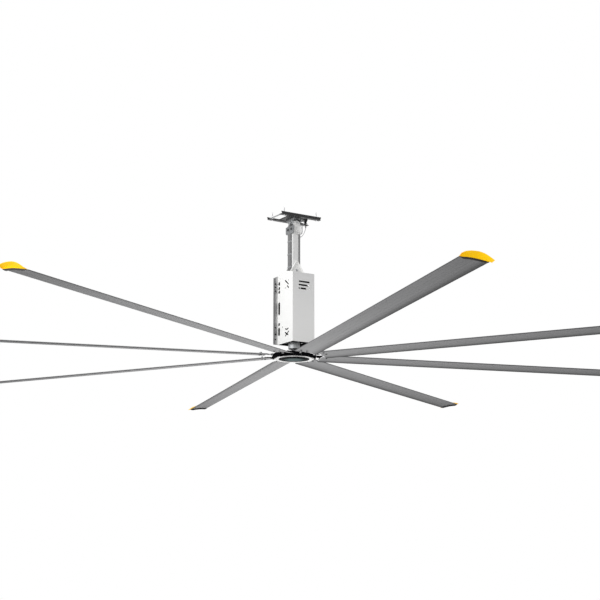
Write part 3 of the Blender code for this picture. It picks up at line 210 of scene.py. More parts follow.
def painted(name, values, tones=None):  # mottled coat with rubbed edges; tones can change it in places
    finish = Finish(name, values)
    mottling = finish.noise(*values["mottlingNoise"])
    base = finish.mixed(mottling, values["dark"], values["light"])
    if tones:
        base = tones(finish, mottling, base)
    base = finish.mixed(finish.worn() * finish.noise(*values["wearNoise"]), base, values["bare"])
    return finish.finished(base, mottling, finish.noise(values["peelScale"]))


frameValues = {
    "flangeShadeSheet": (grey(0.13, 0.135), grey(0.30, 0.305)), "paintedFlangeLight": grey(0.62),
    "inside": grey(0.006, 0.007), "paintedFrontShade": grey(0.72), "streakScale": (60.0, 60.0, 3.0),
    "sheet": 0.004, "lip": 0.0018, "skin": 0.0015, "frontSkin": 0.0005,
    "flangeShadeBand": 0.014, "flangeFade": 0.030, "flangeMetal": 0.5,
}
coverValues = {"paintedInnerShade": (grey(0.003), grey(0.006, 0.007)), "skin": 0.0008}


def frameTones(finish, mottling, white):  # bare streaked sheet on the standing flanges, darkened as painted shade, darkest at the outer edge with painted light further in; painted shade near black inside the housing and towards the top of the front face
    values = frameValues
    low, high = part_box("motor_frame")
    left, right = [corner.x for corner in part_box("top_plate")]
    across, along = finish.axis("X"), finish.axis("Y")
    flanges = finish.clamped((across < left - values["sheet"]) + (across > right + values["sheet"]))
    # painted shade: the inside of the housing is painted near black
    shadeWithin = (across > left - values["lip"]) * (across < right + values["lip"])
    shadeWithin = shadeWithin * (along > low.y + values["skin"])
    # painted shade: the flanges' dark sheet, darkest in a band at the outer edge, with painted light further
    # in
    bare = finish.mixed(finish.streaks(values["streakScale"]), *values["flangeShadeSheet"])
    paintedLight = finish.clamped((across - low.x - values["flangeShadeBand"]) * (1 / values["flangeFade"]))
    bare = finish.mixed(shadeWithin, finish.mixed(paintedLight, bare, values["paintedFlangeLight"]), values["inside"])
    # painted shade: the front face turns darker towards the top
    raised = finish.clamped((finish.axis("Z") - low.z) * (1 / (high.z - low.z)))
    white = finish.mixed(raised * (along < low.y + values["frontSkin"]), white, values["paintedFrontShade"])
    finish.feed("Metallic", flanges * values["flangeMetal"])
    return finish.mixed(finish.clamped(flanges + shadeWithin), white, bare)


def coverTones(finish, mottling, white):  # painted shade: near black on the inner face of the cover that closes the housing
    inside = finish.axis("Y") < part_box("rear_cover")[0].y + coverValues["skin"]
    return finish.mixed(inside, white, finish.mixed(mottling, *coverValues["paintedInnerShade"]))


zincPlate = {
    "dark": tone(0.17, 0.175, 0.18), "light": tone(0.50, 0.51, 0.52), "metallic": 0.6, "spangleScale": 130.0,
    "cloudNoise": (26.0, 4.0, 0.6), "grainShare": 0.55, "cloudShare": 0.75, "darkShare": 0.15,
    "edgeWidth": 0.001, "edgeGain": 2.0, "wear": 0.5, "roughness": 0.34, "roughGain": 0.20, "bump": 0.12,
    "bumpDepth": 0.0004,
}
darkZinc = {
    **zincPlate, "dark": grey(0.030, 0.032), "light": grey(0.12, 0.125), "metallic": 0.8,
    "spangleScale": 300.0, "cloudNoise": (60.0, 4.0, 0.6), "roughness": 0.30,
}
brightZinc = {**darkZinc, "dark": grey(0.42, 0.43), "light": grey(0.80, 0.81), "roughness": 0.25}
yokeFinish = {
    **zincPlate, "dark": tone(0.10, 0.104, 0.108), "light": tone(0.34, 0.35, 0.36), "ior": 1.46,
    "straps": (grey(0.80), grey(0.90, 0.89)), "plateInner": 0.0385, "roughness": 0.36, "roughGain": 0.15,
}


def crystals(finish):  # zinc grain, its clouds and the tone of both
    values = finish.values
    cells = finish.node("TexVoronoi", {"Vector": finish.place, "Scale": values["spangleScale"]}, "Color")
    grain = finish.node("RGBToBW", {"Color": cells})
    cloud = finish.noise(*values["cloudNoise"])
    share = values["grainShare"] * grain + values["cloudShare"] * cloud - values["darkShare"]
    return grain, cloud, finish.mixed(finish.clamped(share), values["dark"], values["light"])


def zincPlated(name, values):
    finish = Finish(name, values)
    grain, cloud, base = crystals(finish)
    return finish.finished(finish.mixed(finish.worn(), base, values["light"]), grain, cloud)


def strappedYoke():  # zinc side plates with white straps between them; the side plates' dark zinc tone is partly plating and partly painted shade on the yoke's sides
    values = yokeFinish
    finish = Finish("strappedYoke", values)
    across = finish.axis("X")
    # the side plates take the dark zinc, partly painted shade
    shadedPlates = finish.clamped((across < -values["plateInner"]) + (across > values["plateInner"]))
    grain, cloud, zinc = crystals(finish)
    finish.feed("Metallic", shadedPlates * values["metallic"])
    return finish.finished(finish.mixed(shadedPlates, finish.mixed(cloud, *values["straps"]), zinc), grain, cloud)


turnedMarks = {
    "dark": grey(0.24, 0.25), "light": grey(0.52, 0.53), "metallic": 0.85, "detail": 3.0,
    "markScale": (90.0, 90.0, 900.0), "edgeWidth": 0.0008, "edgeGain": 2.0, "wear": 0.6, "roughness": 0.26,
    "roughGain": 0.18, "bump": 0.15, "bumpDepth": 0.0001,
}
shaftMarks = {**turnedMarks, "dark": grey(0.030, 0.032), "light": grey(0.090, 0.094), "roughness": 0.34}
sawnMarks = {
    **turnedMarks, "dark": grey(0.62, 0.63), "light": grey(0.82, 0.83), "metallic": 0.6, "laid": True,
    "detail": 2.0, "markScale": (40.0, 900.0, 90.0), "wear": 0.0, "roughness": 0.30, "roughGain": 0.2,
}
ropeMarks = {
    **turnedMarks, "dark": grey(0.16, 0.165), "light": grey(0.42, 0.43), "metallic": 0.7,
    "markScale": (220.0, 220.0, 220.0), "wear": 0.0, "roughness": 0.35, "roughGain": 0.25, "bump": 0.2,
    "bumpDepth": 0.0002,
}


def markedMetal(name, values):  # turned, sawn or drawn metal with fine marks
    finish = Finish(name, values)
    marks = finish.streaks(values["markScale"], values["detail"])
    base = finish.mixed(marks, values["dark"], values["light"])
    if values["wear"]:
        base = finish.mixed(finish.worn(), base, values["light"])
    return finish.finished(base, marks, marks)


gearboxSkin = {
    "dark": tone(0.36, 0.37, 0.38), "light": tone(0.56, 0.57, 0.58), "metallic": 0.5,
    "skinNoise": (420.0, 5.0, 0.65), "cloudNoise": (14.0, 3.0), "roughness": 0.42, "roughGain": 0.2,
    "bump": 0.5, "bumpDepth": 0.0005,
}
crossSkin = {
    **gearboxSkin, "dark": tone(0.40, 0.41, 0.42), "light": tone(0.66, 0.67, 0.68), "roughness": 0.40,
}


def castMetal(name, values):  # sand-cast skin
    finish = Finish(name, values)
    skin = finish.noise(*values["skinNoise"])
    base = finish.mixed(finish.noise(*values["cloudNoise"]), values["dark"], values["light"])
    return finish.finished(base, skin, skin)


bladeFinish = {
    "paintedRootLight": grey(0.370, 0.374), "paintedTipShade": grey(0.190, 0.193), "streakTone": grey(0.62, 0.63),
    "paintedEdgeShade": grey(0.42, 0.43), "edgeWidth": 0.008, "edgeGain": 2.0, "paintedTailShade": grey(0.05, 0.052),
    "tailWidth": 0.080, "lineNoise": ((0.9, 340.0, 340.0), 3.0, 0.6), "lineShare": 0.45,
    "cloudScale": (1.6, 9.0, 9.0), "cloudShare": 0.20, "cloudRoughShare": 0.8, "laid": True,
    "metallic": 0.12, "specular": 0.05, "roughness": 0.42, "roughGain": 0.10, "bump": 0.22,
    "bumpDepth": 0.0002, "reach": 3.66, "middle": 0.0281, "half": 0.097,
}


def extrudedAluminium():  # die lines run along the blade; painted light near the root fades to painted shade at the tip, with painted shade along both edges and across the tail
    values = bladeFinish
    finish = Finish("extrudedAluminium", values)
    across = finish.axis("Y")
    lines = finish.streaks(*values["lineNoise"])
    cloud = finish.streaks(values["cloudScale"])
    along = finish.clamped(finish.axis("X") * (1 / values["reach"]))
    offset = finish.node("Math", {0: across - values["middle"]}, operation="ABSOLUTE")
    # painted shade along both rounded edges of the blade
    rimStart = values["half"] - values["edgeWidth"]
    # painted shade across the tail, where the underside curls away from the light
    tailStart = values["middle"] + values["half"] - values["tailWidth"]
    tail = finish.clamped((across - tailStart) * (1 / values["tailWidth"]))
    # painted light at the root fading to painted shade at the tip
    base = finish.mixed(along, values["paintedRootLight"], values["paintedTipShade"])
    for share, shade in (
            (finish.clamped(values["lineShare"] * lines + values["cloudShare"] * cloud), "streakTone"),
            (finish.clamped((offset - rimStart) * (values["edgeGain"] / values["edgeWidth"])), "paintedEdgeShade"),
            (tail * tail, "paintedTailShade")):
        base = finish.mixed(share, base, values[shade], "MULTIPLY")
    return finish.finished(base, lines + values["cloudRoughShare"] * cloud, lines)


finFinish = {
    "deep": tone(0.96, 0.520, 0.0), "bright": tone(1.0, 0.640, 0.001), "lead": tone(0.94, 0.410, 0.0),
    "rim": tone(1.0, 0.80, 0.10), "flowScale": (8.0, 14.0, 22.0), "grainScale": 1500.0, "leadEnd": -0.045,
    "leadGain": -30.0, "edgeWidth": 0.0015, "edgeGain": 1.6, "wear": 0.8, "laid": True, "glow": 0.17,
    "ior": 1.5, "specular": 0.12, "roughness": 0.34, "roughGain": 0.12, "bump": 0.04, "bumpDepth": 0.0001,
}


def yellowMoulding():  # moulded plastic with a fine grain; painted shade darkens the leading end, painted highlight lightens the edges, and the colour glows as painted light
    values = finFinish
    finish = Finish("yellowMoulding", values)
    flow = finish.streaks(values["flowScale"])
    # painted shade: a darker orange at the fin's leading end
    lead = finish.clamped((finish.axis("Y") - values["leadEnd"]) * values["leadGain"])
    base = finish.mixed(lead, finish.mixed(flow, values["deep"], values["bright"]), values["lead"])
    # painted highlight: the sharp edges turn a pale yellow
    base = finish.mixed(finish.worn(), base, values["rim"])
    # painted light: the plastic glows with its own colour
    finish.feed("Emission Color", base)
    return finish.finished(base, flow, finish.noise(values["grainScale"]))


capFinish = {
    "teal": tone(0.150, 0.205, 0.208), "smoke": tone(0.070, 0.098, 0.100), "black": tone(0.003, 0.004, 0.005),
    "bright": 0.045, "dark": 0.095, "smokeNoise": (18.0, 3.0), "rippleScale": 300.0, "ior": 1.015,
    "roughness": 0.20, "roughGain": 0.10, "bump": 0.05, "bumpDepth": 0.0001,
}


def capWithPaintedGloss():  # smoked teal centre whose tone also stands in for the cap's gloss as painted reflection, fading to a black rim of painted shade in the recess under the ring
    values = capFinish
    finish = Finish("capWithPaintedGloss", values)
    flat = finish.node("VectorMath", {0: finish.place, 1: (1.0, 1.0, 0.0)}, operation="MULTIPLY")
    reach = finish.node("VectorMath", {0: flat}, "Value", operation="LENGTH")
    # painted shade: the centre fades to black towards the rim
    share = finish.clamped((reach - values["bright"]) * (1 / (values["dark"] - values["bright"])))
    smoke = finish.noise(*values["smokeNoise"])
    base = finish.mixed(share, finish.mixed(smoke, values["smoke"], values["teal"]), values["black"])
    return finish.finished(base, smoke, finish.noise(values["rippleScale"]))


statorFinish = {
    "dark": tone(0.28, 0.14, 0.07), "light": tone(0.52, 0.29, 0.15), "plateScale": 320.0, "metallic": 0.7,
    "distortion": 0.4, "roughness": 0.40, "roughGain": 0.2, "bump": 0.3, "bumpDepth": 0.0004,
}


def woundStator():  # stacked laminations
    values = statorFinish
    finish = Finish("woundStator", values)
    sockets = {"Vector": finish.place, "Scale": values["plateScale"], "Distortion": values["distortion"]}
    shadedPlates = finish.node("TexWave", sockets, bands_direction="Z")
    return finish.finished(finish.mixed(shadedPlates, values["dark"], values["light"]), shadedPlates, shadedPlates)


whiteCoat = painted("whiteCoat", whitePaint)
blackCoat = painted("blackCoat", blackPaint)
hubCoat = painted("hubCoat", hubPaint)
motorCoat = painted("motorCoat", motorPaint)
ductShadeCoat = painted("ductShadeCoat", ductShadePaint)
tubeCoat = painted("tubeCoat", tubePaint)
conduitShadeCoat = painted("conduitShadeCoat", conduitShadePaint)
frameCoat = painted("coatedFrame", sheetPaint, frameTones)
coverCoat = painted("coatedCover", sheetPaint, coverTones)
plateZinc = zincPlated("plateZinc", zincPlate)
boltZinc = zincPlated("boltZinc", darkZinc)
shinyZinc = zincPlated("shinyZinc", brightZinc)
turnedSteel = markedMetal("turnedSteel", turnedMarks)
shaftSteel = markedMetal("shaftSteel", shaftMarks)
sawnMetal = markedMetal("brightAluminium", sawnMarks)
ropeSteel = markedMetal("wireRope", ropeMarks)
castGearbox = castMetal("castGearbox", gearboxSkin)
castCross = castMetal("castCross", crossSkin)
bladeMetal = extrudedAluminium()
finPlastic = yellowMoulding()
capPaintedGloss = capWithPaintedGloss()
statorStack = woundStator()
yokeSkin = strappedYoke()

coats = (
    (blackCoat, "mounting_plate front_angle_iron rear_angle_iron cable_bracket cable_ring"),
    (plateZinc, "tie_strap upper_yoke"), (yokeSkin, "lower_yoke"), (castCross, "swivel_cross"),
    (tubeCoat, "drop_tube"), (whiteCoat, "front_gusset rear_gusset top_plate hub_ring"),
    (frameCoat, "motor_frame"), (coverCoat, "rear_cover"), (hubCoat, "base_plate hub blade_strut_"),
    (castGearbox, "gearbox_housing"), (shaftSteel, "output_bearing output_shaft"),
    (turnedSteel, "layshaft motor_rotor"), (motorCoat, "motor_housing motor_cowl terminal_box"),
    (statorStack, "stator"), (capPaintedGloss, "hub_cap"), (bladeMetal, "blade_"), (finPlastic, "winglet_"),
    (boltZinc, "clamp_stud_ tube_bolt_ gusset_bolt"), (ropeSteel, "safety_cable"),
)
coatOf = {label: coat for coat, labels in coats for label in labels.split()}
for nodeName, node in nodes.items():
    node.data.materials.clear()
    node.data.materials.append(coatOf[nodeName.rstrip("0123456789")])
print("finishes laid on the frame")


# Mesh building
def cleanMesh(mesh, sharpAngle):
    mesh.shade_smooth()
    mesh.set_sharp_from_angle(angle=radians(sharpAngle))
    return mesh


def solidMesh(name, shape, sharpAngle):
    bmesh.ops.recalc_face_normals(shape, faces=shape.faces)
    mesh = bpy.data.meshes.new(name)
    shape.to_mesh(mesh)
    shape.free()
    return cleanMesh(mesh, sharpAngle)


def slab(name, loops, start, thick, sharpAngle):  # an outline with holes across X, thickened along X
    shape = bmesh.new()
    edges = []
    for loop in loops:
        points = [shape.verts.new((start, across, height)) for across, height in loop]
        edges += [shape.edges.new(pair) for pair in zip(points, points[1:] + points[:1])]
    bmesh.ops.triangle_fill(shape, use_beauty=True, use_dissolve=False, edges=edges)
    pushed = bmesh.ops.extrude_face_region(shape, geom=list(shape.faces), use_keep_orig=True)
    moved = [item for item in pushed["geom"] if isinstance(item, bmesh.types.BMVert)]
    bmesh.ops.translate(shape, verts=moved, vec=(thick, 0, 0))
    return solidMesh(name, shape, sharpAngle)


sharpAngles = {"box": 50, "joined": 40, "grown": 38}


def roundedBox(name, low, high, rounding):
    shape = bmesh.new()
    bmesh.ops.create_cube(shape, size=1)
    stretch = Matrix.Translation((low + high) / 2) @ Matrix.Diagonal((*(high - low), 1))
    bmesh.ops.transform(shape, matrix=stretch, verts=shape.verts)
    bmesh.ops.bevel(shape, geom=shape.edges, offset=rounding, segments=2, affect="EDGES", profile=0.5)
    return solidMesh(name, shape, sharpAngles["box"])


def turned(name, profile, sides, sharpAngle):  # radius and height pairs about Z, closed where radius is 0
    shape = bmesh.new()
    rings = []
    for radius, height in profile:
        spots = 1 if radius == 0 else sides
        rings.append([shape.verts.new((radius * cos(tau * spot / sides),
                                       radius * sin(tau * spot / sides), height))
                      for spot in range(spots)])
    pairs = list(zip(rings, rings[1:]))
    if len(rings[0]) > 1:
        pairs.append((rings[-1], rings[0]))
    for lower, upper in pairs:
        for spot in range(sides):
            after = (spot + 1) % sides
            corners = [lower[spot % len(lower)], lower[after % len(lower)],
                       upper[after % len(upper)], upper[spot % len(upper)]]
            shape.faces.new(list(dict.fromkeys(corners)))
    return solidMesh(name, shape, sharpAngle)


def addObject(name, data):
    made = bpy.data.objects.new(name, data)
    bpy.context.scene.collection.objects.link(made)
    return made


def addPiece(name, mesh, material):
    mesh.materials.clear()
    mesh.materials.append(material)
    return addObject(name, mesh)


def settle(piece, slotName, body, *replaced):  # its material slot, which is not used, what it stands for and what carries it
    if replaced:
        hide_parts(*replaced)
    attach(piece, body)


def markPoints(mesh, label, vectors):
    for entry, vector in zip(mesh.attributes.new(label, "FLOAT_VECTOR", "POINT").data, vectors):
        entry.vector = vector


def keepPlaces(mesh):  # remembers where each point is before the piece is turned into position
    markPoints(mesh, "laid", [vertex.co for vertex in mesh.vertices])


def joinedMeshes(name, meshes):
    shape = bmesh.new()
    for mesh in meshes:
        shape.from_mesh(mesh)
    return solidMesh(name, shape, sharpAngles["joined"])


# Geometry Nodes building
def growTree(name, inputs):
    tree = bpy.data.node_groups.new(name, "GeometryNodeTree")
    for label, kind in (("Geometry", "Geometry"), *inputs, ("Material", "Material")):
        tree.interface.new_socket(label, in_out="INPUT", socket_type="NodeSocket" + kind)
    tree.interface.new_socket("Geometry", in_out="OUTPUT", socket_type="NodeSocketGeometry")
    source = tree.nodes.new("NodeGroupInput").outputs
    sink = tree.nodes.new("NodeGroupOutput").inputs

    def add(kind, sockets, take=0, **settings):
        made = tree.nodes.new(kind if "Node" in kind else "GeometryNode" + kind)
        for setting, value in settings.items():
            setattr(made, setting, value)
        for socket, value in sockets.items():
            for each in value if isinstance(value, list) else [value]:
                if isinstance(each, bpy.types.NodeSocket):
                    tree.links.new(each, made.inputs[socket])
                else:
                    made.inputs[socket].default_value = each
        return made.outputs[take]

    def maths(operation, first, second):
        return add("ShaderNodeMath", {0: first, 1: second}, operation=operation)

    def close(geometry):  # real meshes in the material that was asked for
        real = add("RealizeInstances", {"Geometry": geometry})
        coated = add("SetMaterial", {"Geometry": real, "Material": source["Material"]})
        tree.links.new(coated, sink["Geometry"])
        return tree

    return source, add, maths, close


def growPiece(name, tree, mesh, values, material):  # runs a tree on a mesh of points and keeps a plain mesh
    seed = addObject(name + "Seed", mesh)
    growth = seed.modifiers.new("growth", "NODES")
    growth.node_group = tree
    sockets = {item.name: item.identifier for item in tree.interface.items_tree if item.in_out == "INPUT"}
    for label, value in {**values, "Material": material}.items():
        growth[sockets[label]] = value
    bpy.context.view_layer.update()
    graph = bpy.context.evaluated_depsgraph_get()
    grown = bpy.data.meshes.new_from_object(seed.evaluated_get(graph))
    seed.modifiers.clear()
    bpy.data.objects.remove(seed, do_unlink=True)
    grown.name = name
    return addObject(name, cleanMesh(grown, sharpAngles["grown"]))


def pointMesh(name, spots):  # points that each know which way they face
    mesh = bpy.data.meshes.new(name)
    mesh.from_pydata([place for place, _ in spots], [], [])
    markPoints(mesh, "facing", [way for _, way in spots])
    return mesh


# Fasteners: a hexagon head on a washer, a shank behind it, and a nut with a threaded end if asked for
fastenerShares = {"body": 0.82, "crown": 0.18, "crownTop": 0.86, "ridge": 0.36}
fastenerSides = {"washer": 24, "shank": 16, "turn": 12, "nut": 6, "ridge": 3}


def fastenerTree():
    shares, sides = fastenerShares, fastenerSides
    sizes = ("Shank Radius", "Grip", "Stand Out", "Head Radius", "Head Height", "Washer Radius",
             "Washer Thickness", "Pitch")
    floats = [(label, "Float") for label in sizes]
    source, add, maths, close = growTree("fastener", [*floats, ("Sides", "Int"), ("Far Nut", "Bool")])
    shank, grip, out, head, height, rim, thick, pitch = [source[label] for label in sizes]

    def scaled(first, factor):
        return maths("MULTIPLY", first, factor)

    def added(first, second):
        return maths("ADD", first, second)

    def joined(*parts):
        return add("JoinGeometry", {"Geometry": list(parts)})

    def raised(shape, lift):
        return add("Transform", {"Geometry": shape, "Translation": add("ShaderNodeCombineXYZ", {"Z": lift})})

    def drum(corners, radius, depth, base):  # a closed cylinder that stands on a height
        made = add("MeshCylinder", {"Vertices": corners, "Radius": radius, "Depth": depth})
        return raised(made, added(base, scaled(depth, 0.5)))

    def nut(base, corners):  # chamfered towards its outer end
        body = scaled(height, shares["body"])
        top = add("MeshCone", {"Vertices": corners, "Radius Top": scaled(head, shares["crownTop"]),
                               "Radius Bottom": head, "Depth": scaled(height, shares["crown"])})
        return joined(drum(corners, head, body, base), raised(top, added(base, body)))

    washer = drum(sides["washer"], rim, thick, 0.0)
    far = joined(washer, nut(thick, sides["nut"]))
    flipped = add("Transform", {"Geometry": far, "Rotation": (pi, 0.0, 0.0)})
    length = added(grip, added(added(height, thick), out))
    bottom = scaled(length, -1.0)
    rod = drum(sides["shank"], shank, length, bottom)
    helix = add("CurveSpiral", {"Resolution": sides["turn"], "Rotations": maths("DIVIDE", out, pitch),
                                "Height": out, "Start Radius": shank, "End Radius": shank})
    ridge = add("CurvePrimitiveCircle", {"Resolution": sides["ridge"],
                                         "Radius": scaled(pitch, shares["ridge"])})
    thread = add("CurveToMesh", {"Curve": helix, "Profile Curve": ridge, "Fill Caps": True})
    farEnd = joined(raised(flipped, scaled(grip, -1.0)), rod, raised(thread, bottom))
    shown = add("Switch", {"Switch": source["Far Nut"], "True": farEnd}, input_type="GEOMETRY")
    way = add("InputNamedAttribute", {"Name": "facing"}, data_type="FLOAT_VECTOR")
    turn = add("FunctionNodeRandomValue", {2: 0.0, 3: pi / 3, "Seed": 7}, 1, data_type="FLOAT")
    spin = add("FunctionNodeAxisAngleToRotation", {"Axis": (0.0, 0.0, 1.0), "Angle": turn})
    aim = add("FunctionNodeAlignRotationToVector", {"Vector": way}, axis="Z")
    spun = add("FunctionNodeRotateRotation", {"Rotation": aim, "Rotate By": spin}, rotation_space="LOCAL")
    whole = joined(washer, nut(thick, source["Sides"]), shown)
    return close(add("InstanceOnPoints", {"Points": source["Geometry"], "Instance": whole, "Rotation": spun}))


fastener = fastenerTree()
boltTenMm = {
    "Shank Radius": 0.0048, "Grip": 0.0, "Stand Out": 0.004, "Head Radius": 0.0096, "Head Height": 0.0062,
    "Washer Radius": 0.0105, "Washer Thickness": 0.0018, "Pitch": 0.0015, "Sides": 6, "Far Nut": True,
}


def addFasteners(name, body, spots, changes, material, *replaced):
    piece = growPiece(name, fastener, pointMesh(name + "Points", spots), {**boltTenMm, **changes}, material)
    settle(piece, "fastener_steel", body, *replaced)


def ringSpots(radius, count, height, way, offset=0.0):  # evenly spaced places round Z
    angles = [tau * (step + offset) / count for step in range(count)]
    return [(Vector((radius * cos(angle), radius * sin(angle), height)), way) for angle in angles]


def middleOf(name):
    low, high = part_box(name)
    return (low + high) / 2


studValues = {"count": 4, "clear": 0.0003}


def mountFasteners():  # threaded studs through the angle irons, with a nut above and below each flange
    values = studValues
    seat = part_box("front_angle_iron")[0].z
    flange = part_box("mounting_plate")[0].z - seat
    studs = [f"clamp_stud_{number}" for number in range(1, values["count"] + 1)]
    spots = [(Vector((*middleOf(stud).xy, seat)), down) for stud in studs]
    head = boltTenMm["Head Height"] + boltTenMm["Washer Thickness"]
    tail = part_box(studs[-1])[1].z - seat - flange - head - 2 * values["clear"]
    changes = {"Grip": flange + values["clear"], "Stand Out": tail}
    addFasteners("mountStuds", "mount", spots, changes, shinyZinc, *studs)


def housingFasteners():
    low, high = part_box("lower_yoke")
    bolts = ["tube_bolt_1", "tube_bolt_2"]
    spots = [(Vector((low.x, *middleOf(bolt).yz)), toLeft) for bolt in bolts]
    changes = {"Grip": high.x - low.x, "Stand Out": 0.0}
    addFasteners("yokeBolts", "housing", spots, changes, boltZinc, *bolts)
    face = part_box("gusset_bolt")[0].y + boltTenMm["Head Height"] + boltTenMm["Washer Thickness"]
    middle = middleOf("gusset_bolt")
    changes = {"Grip": 2 * abs(face), "Stand Out": 0.0}
    spots = [(Vector((middle.x, face, middle.z)), toFront)]
    addFasteners("gussetBolt", "housing", spots, changes, plateZinc, "gusset_bolt")


flangeScrewValues = {
    "dropShares": (0.115, 0.165, 0.222, 0.755, 0.850, 0.925), "inset": 0.020, "sheet": 0.003,
    "changes": {"Stand Out": 0.0, "Shank Radius": 0.0028, "Head Radius": 0.0056, "Head Height": 0.0036,
                "Washer Radius": 0.0072, "Washer Thickness": 0.0012, "Pitch": 0.001},
}


def flangeScrews():  # dark screws that hold the rear cover on both flanges
    values = flangeScrewValues
    low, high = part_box("motor_frame")
    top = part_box("top_plate")[1].z
    seat = high.y - values["sheet"]
    sides = low.x + values["inset"], high.x - values["inset"]
    spots = [(Vector((across, seat, top - share * (top - low.z))), toFront)
             for across in sides for share in values["dropShares"]]
    changes = {**values["changes"], "Grip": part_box("rear_cover")[1].y - seat}
    addFasteners("flangeScrews", "housing", spots, changes, blackCoat)


baseBoltValues = {
    "circle": 0.066, "count": 6, "coverInset": 0.016,
    "changes": {"Far Nut": False, "Head Radius": 0.0075, "Head Height": 0.005, "Washer Radius": 0.0088},
}


def baseBolts():  # bolts round the gearbox neck and along the base plate's rim
    values = baseBoltValues
    low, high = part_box("base_plate")
    inset = values["coverInset"]
    spots = ringSpots(values["circle"], values["count"], low.z, down, 0.5)
    addFasteners("gearboxBolts", "housing", spots, values["changes"], shinyZinc)
    spots = [(Vector((across, along, low.z)), down) for across in (low.x + inset, high.x - inset)
             for along in (low.y + inset, high.y - inset)]
    addFasteners("basePlateBolts", "housing", spots, values["changes"], shinyZinc)


mountFasteners()
housingFasteners()
flangeScrews()
baseBolts()
print("fasteners placed on the mount and the housing")


# Blades: long hollow extrusions with die grooves along both skins
bladeValues = {
    "pitch": radians(-5.2), "chord": 0.194, "wall": 0.0020, "sparShare": (0.13 + 0.58) / 2,
    "cellShares": (0.13, 0.58, 0.84), "cellSamples": 8, "tailSamples": 4, "sharpAngle": 32,
    "middle": 0.0381,  # height share of the strut's middle
    "upperShares": ((0.012, 0.017), (0.05, 0.0405), (0.13, 0.0650), (0.27, 0.0730), (0.45, 0.0683),
                    (0.58, 0.0620), (0.80, 0.0240), (1.0, -0.024)),
    "lowerShares": ((0.012, -0.008), (0.05, -0.010), (0.13, -0.004), (0.25, 0.006), (0.42, 0.012),
                    (0.58, 0.006), (0.80, -0.012), (1.0, -0.034)),
    "grooveShares": (0.17, 0.355, 0.54, 0.70, 0.86),
    "grooveHalf": 0.0013, "grooveDepth": 0.0008, "grooveFloorShare": 0.45, "grooveGapShare": 1.4,
    "samples": 26, "rootRim": 0.006,
    "rimShares": (1.012, 0.985), "rimOut": 0.0005,
}


def strutTurn(number):
    low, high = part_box(f"blade_strut_{number}")
    return atan2((low.y + high.y) / 2, (low.x + high.x) / 2)


def bladePlace(number):
    turn = Matrix.Rotation(strutTurn(number), 4, "Z") @ Matrix.Rotation(bladeValues["pitch"], 4, "X")
    return Matrix.Translation(rotorPoint) @ turn


def hermite(t, start, end, leaving, arriving):  # a smooth step between two heights with two slopes
    return ((2 * t ** 3 - 3 * t ** 2 + 1) * start + (t ** 3 - 2 * t ** 2 + t) * leaving
            + (3 * t ** 2 - 2 * t ** 3) * end + (t ** 3 - t ** 2) * arriving)


def skinHeight(shares, share):  # a smooth curve through the section's heights, with a round nose
    first = shares[0]
    if share <= first[0]:
        return first[1] * sqrt(max(share, 0.0) / first[0])
    spot = next(index for index in range(1, len(shares)) if share <= shares[index][0] + 1e-9)
    (lowPlace, lowHeight), (highPlace, highHeight) = shares[spot - 1], shares[spot]

    def slope(index):
        before, after = shares[max(index - 1, 0)], shares[min(index + 1, len(shares) - 1)]
        return (after[1] - before[1]) / (after[0] - before[0])

    width = highPlace - lowPlace
    slopes = width * slope(spot - 1), width * slope(spot)
    return hermite((share - lowPlace) / width, lowHeight, highHeight, *slopes)


def skinPoint(share, height):
    values = bladeValues
    return ((share - values["sparShare"]) * values["chord"], (height - values["middle"]) * values["chord"])


def skinSpot(label, share, lift=0.0):  # a place on the upper or lower skin
    return skinPoint(share, skinHeight(bladeValues[label], share) + lift)


def skinLine(label, way):  # from the nose to the tail, dipping in at each groove
    values = bladeValues
    grooves = values["grooveShares"]
    half, depth = values["grooveHalf"] / values["chord"], values["grooveDepth"] / values["chord"]
    count = values["samples"]
    steps = [0.5 - 0.5 * cos(pi * step / count) for step in range(count + 1)]
    floor, gap = values["grooveFloorShare"] * half, values["grooveGapShare"] * half
    line = [(step, 0.0) for step in steps if all(abs(step - groove) > gap for groove in grooves)]
    for groove in grooves:
        line += [(groove - half, 0.0), (groove - floor, way), (groove + floor, way), (groove + half, 0.0)]
    return [skinSpot(label, share, dip * depth) for share, dip in sorted(line)]


def hollow(start, end, samples):
    values = bladeValues
    wall = values["wall"] / values["chord"]
    places = [start + (end - start) * step / samples for step in range(samples + 1)]
    lower = [skinSpot("lowerShares", place, wall) for place in places]
    return [skinSpot("upperShares", place, -wall) for place in places] + lower[::-1]


def bladeOutline():
    return skinLine("upperShares", -1) + skinLine("lowerShares", 1)[:0:-1]


def bladeSpots(name):  # the points of a piece in the place of the first blade
    back = bladePlace(1).inverted()
    return [back @ vertex.co for vertex in nodes[name].data.vertices]


def roundRotor(stem, mesh, material, slotName, replacedStem=""):  # a copy on each blade's place
    for number in bladeNumbers:
        shape = mesh.copy()
        shape.transform(bladePlace(number))
        piece = addPiece(stem + str(number), shape, material)
        settle(piece, slotName, "rotor", *([replacedStem + str(number)] if replacedStem else []))


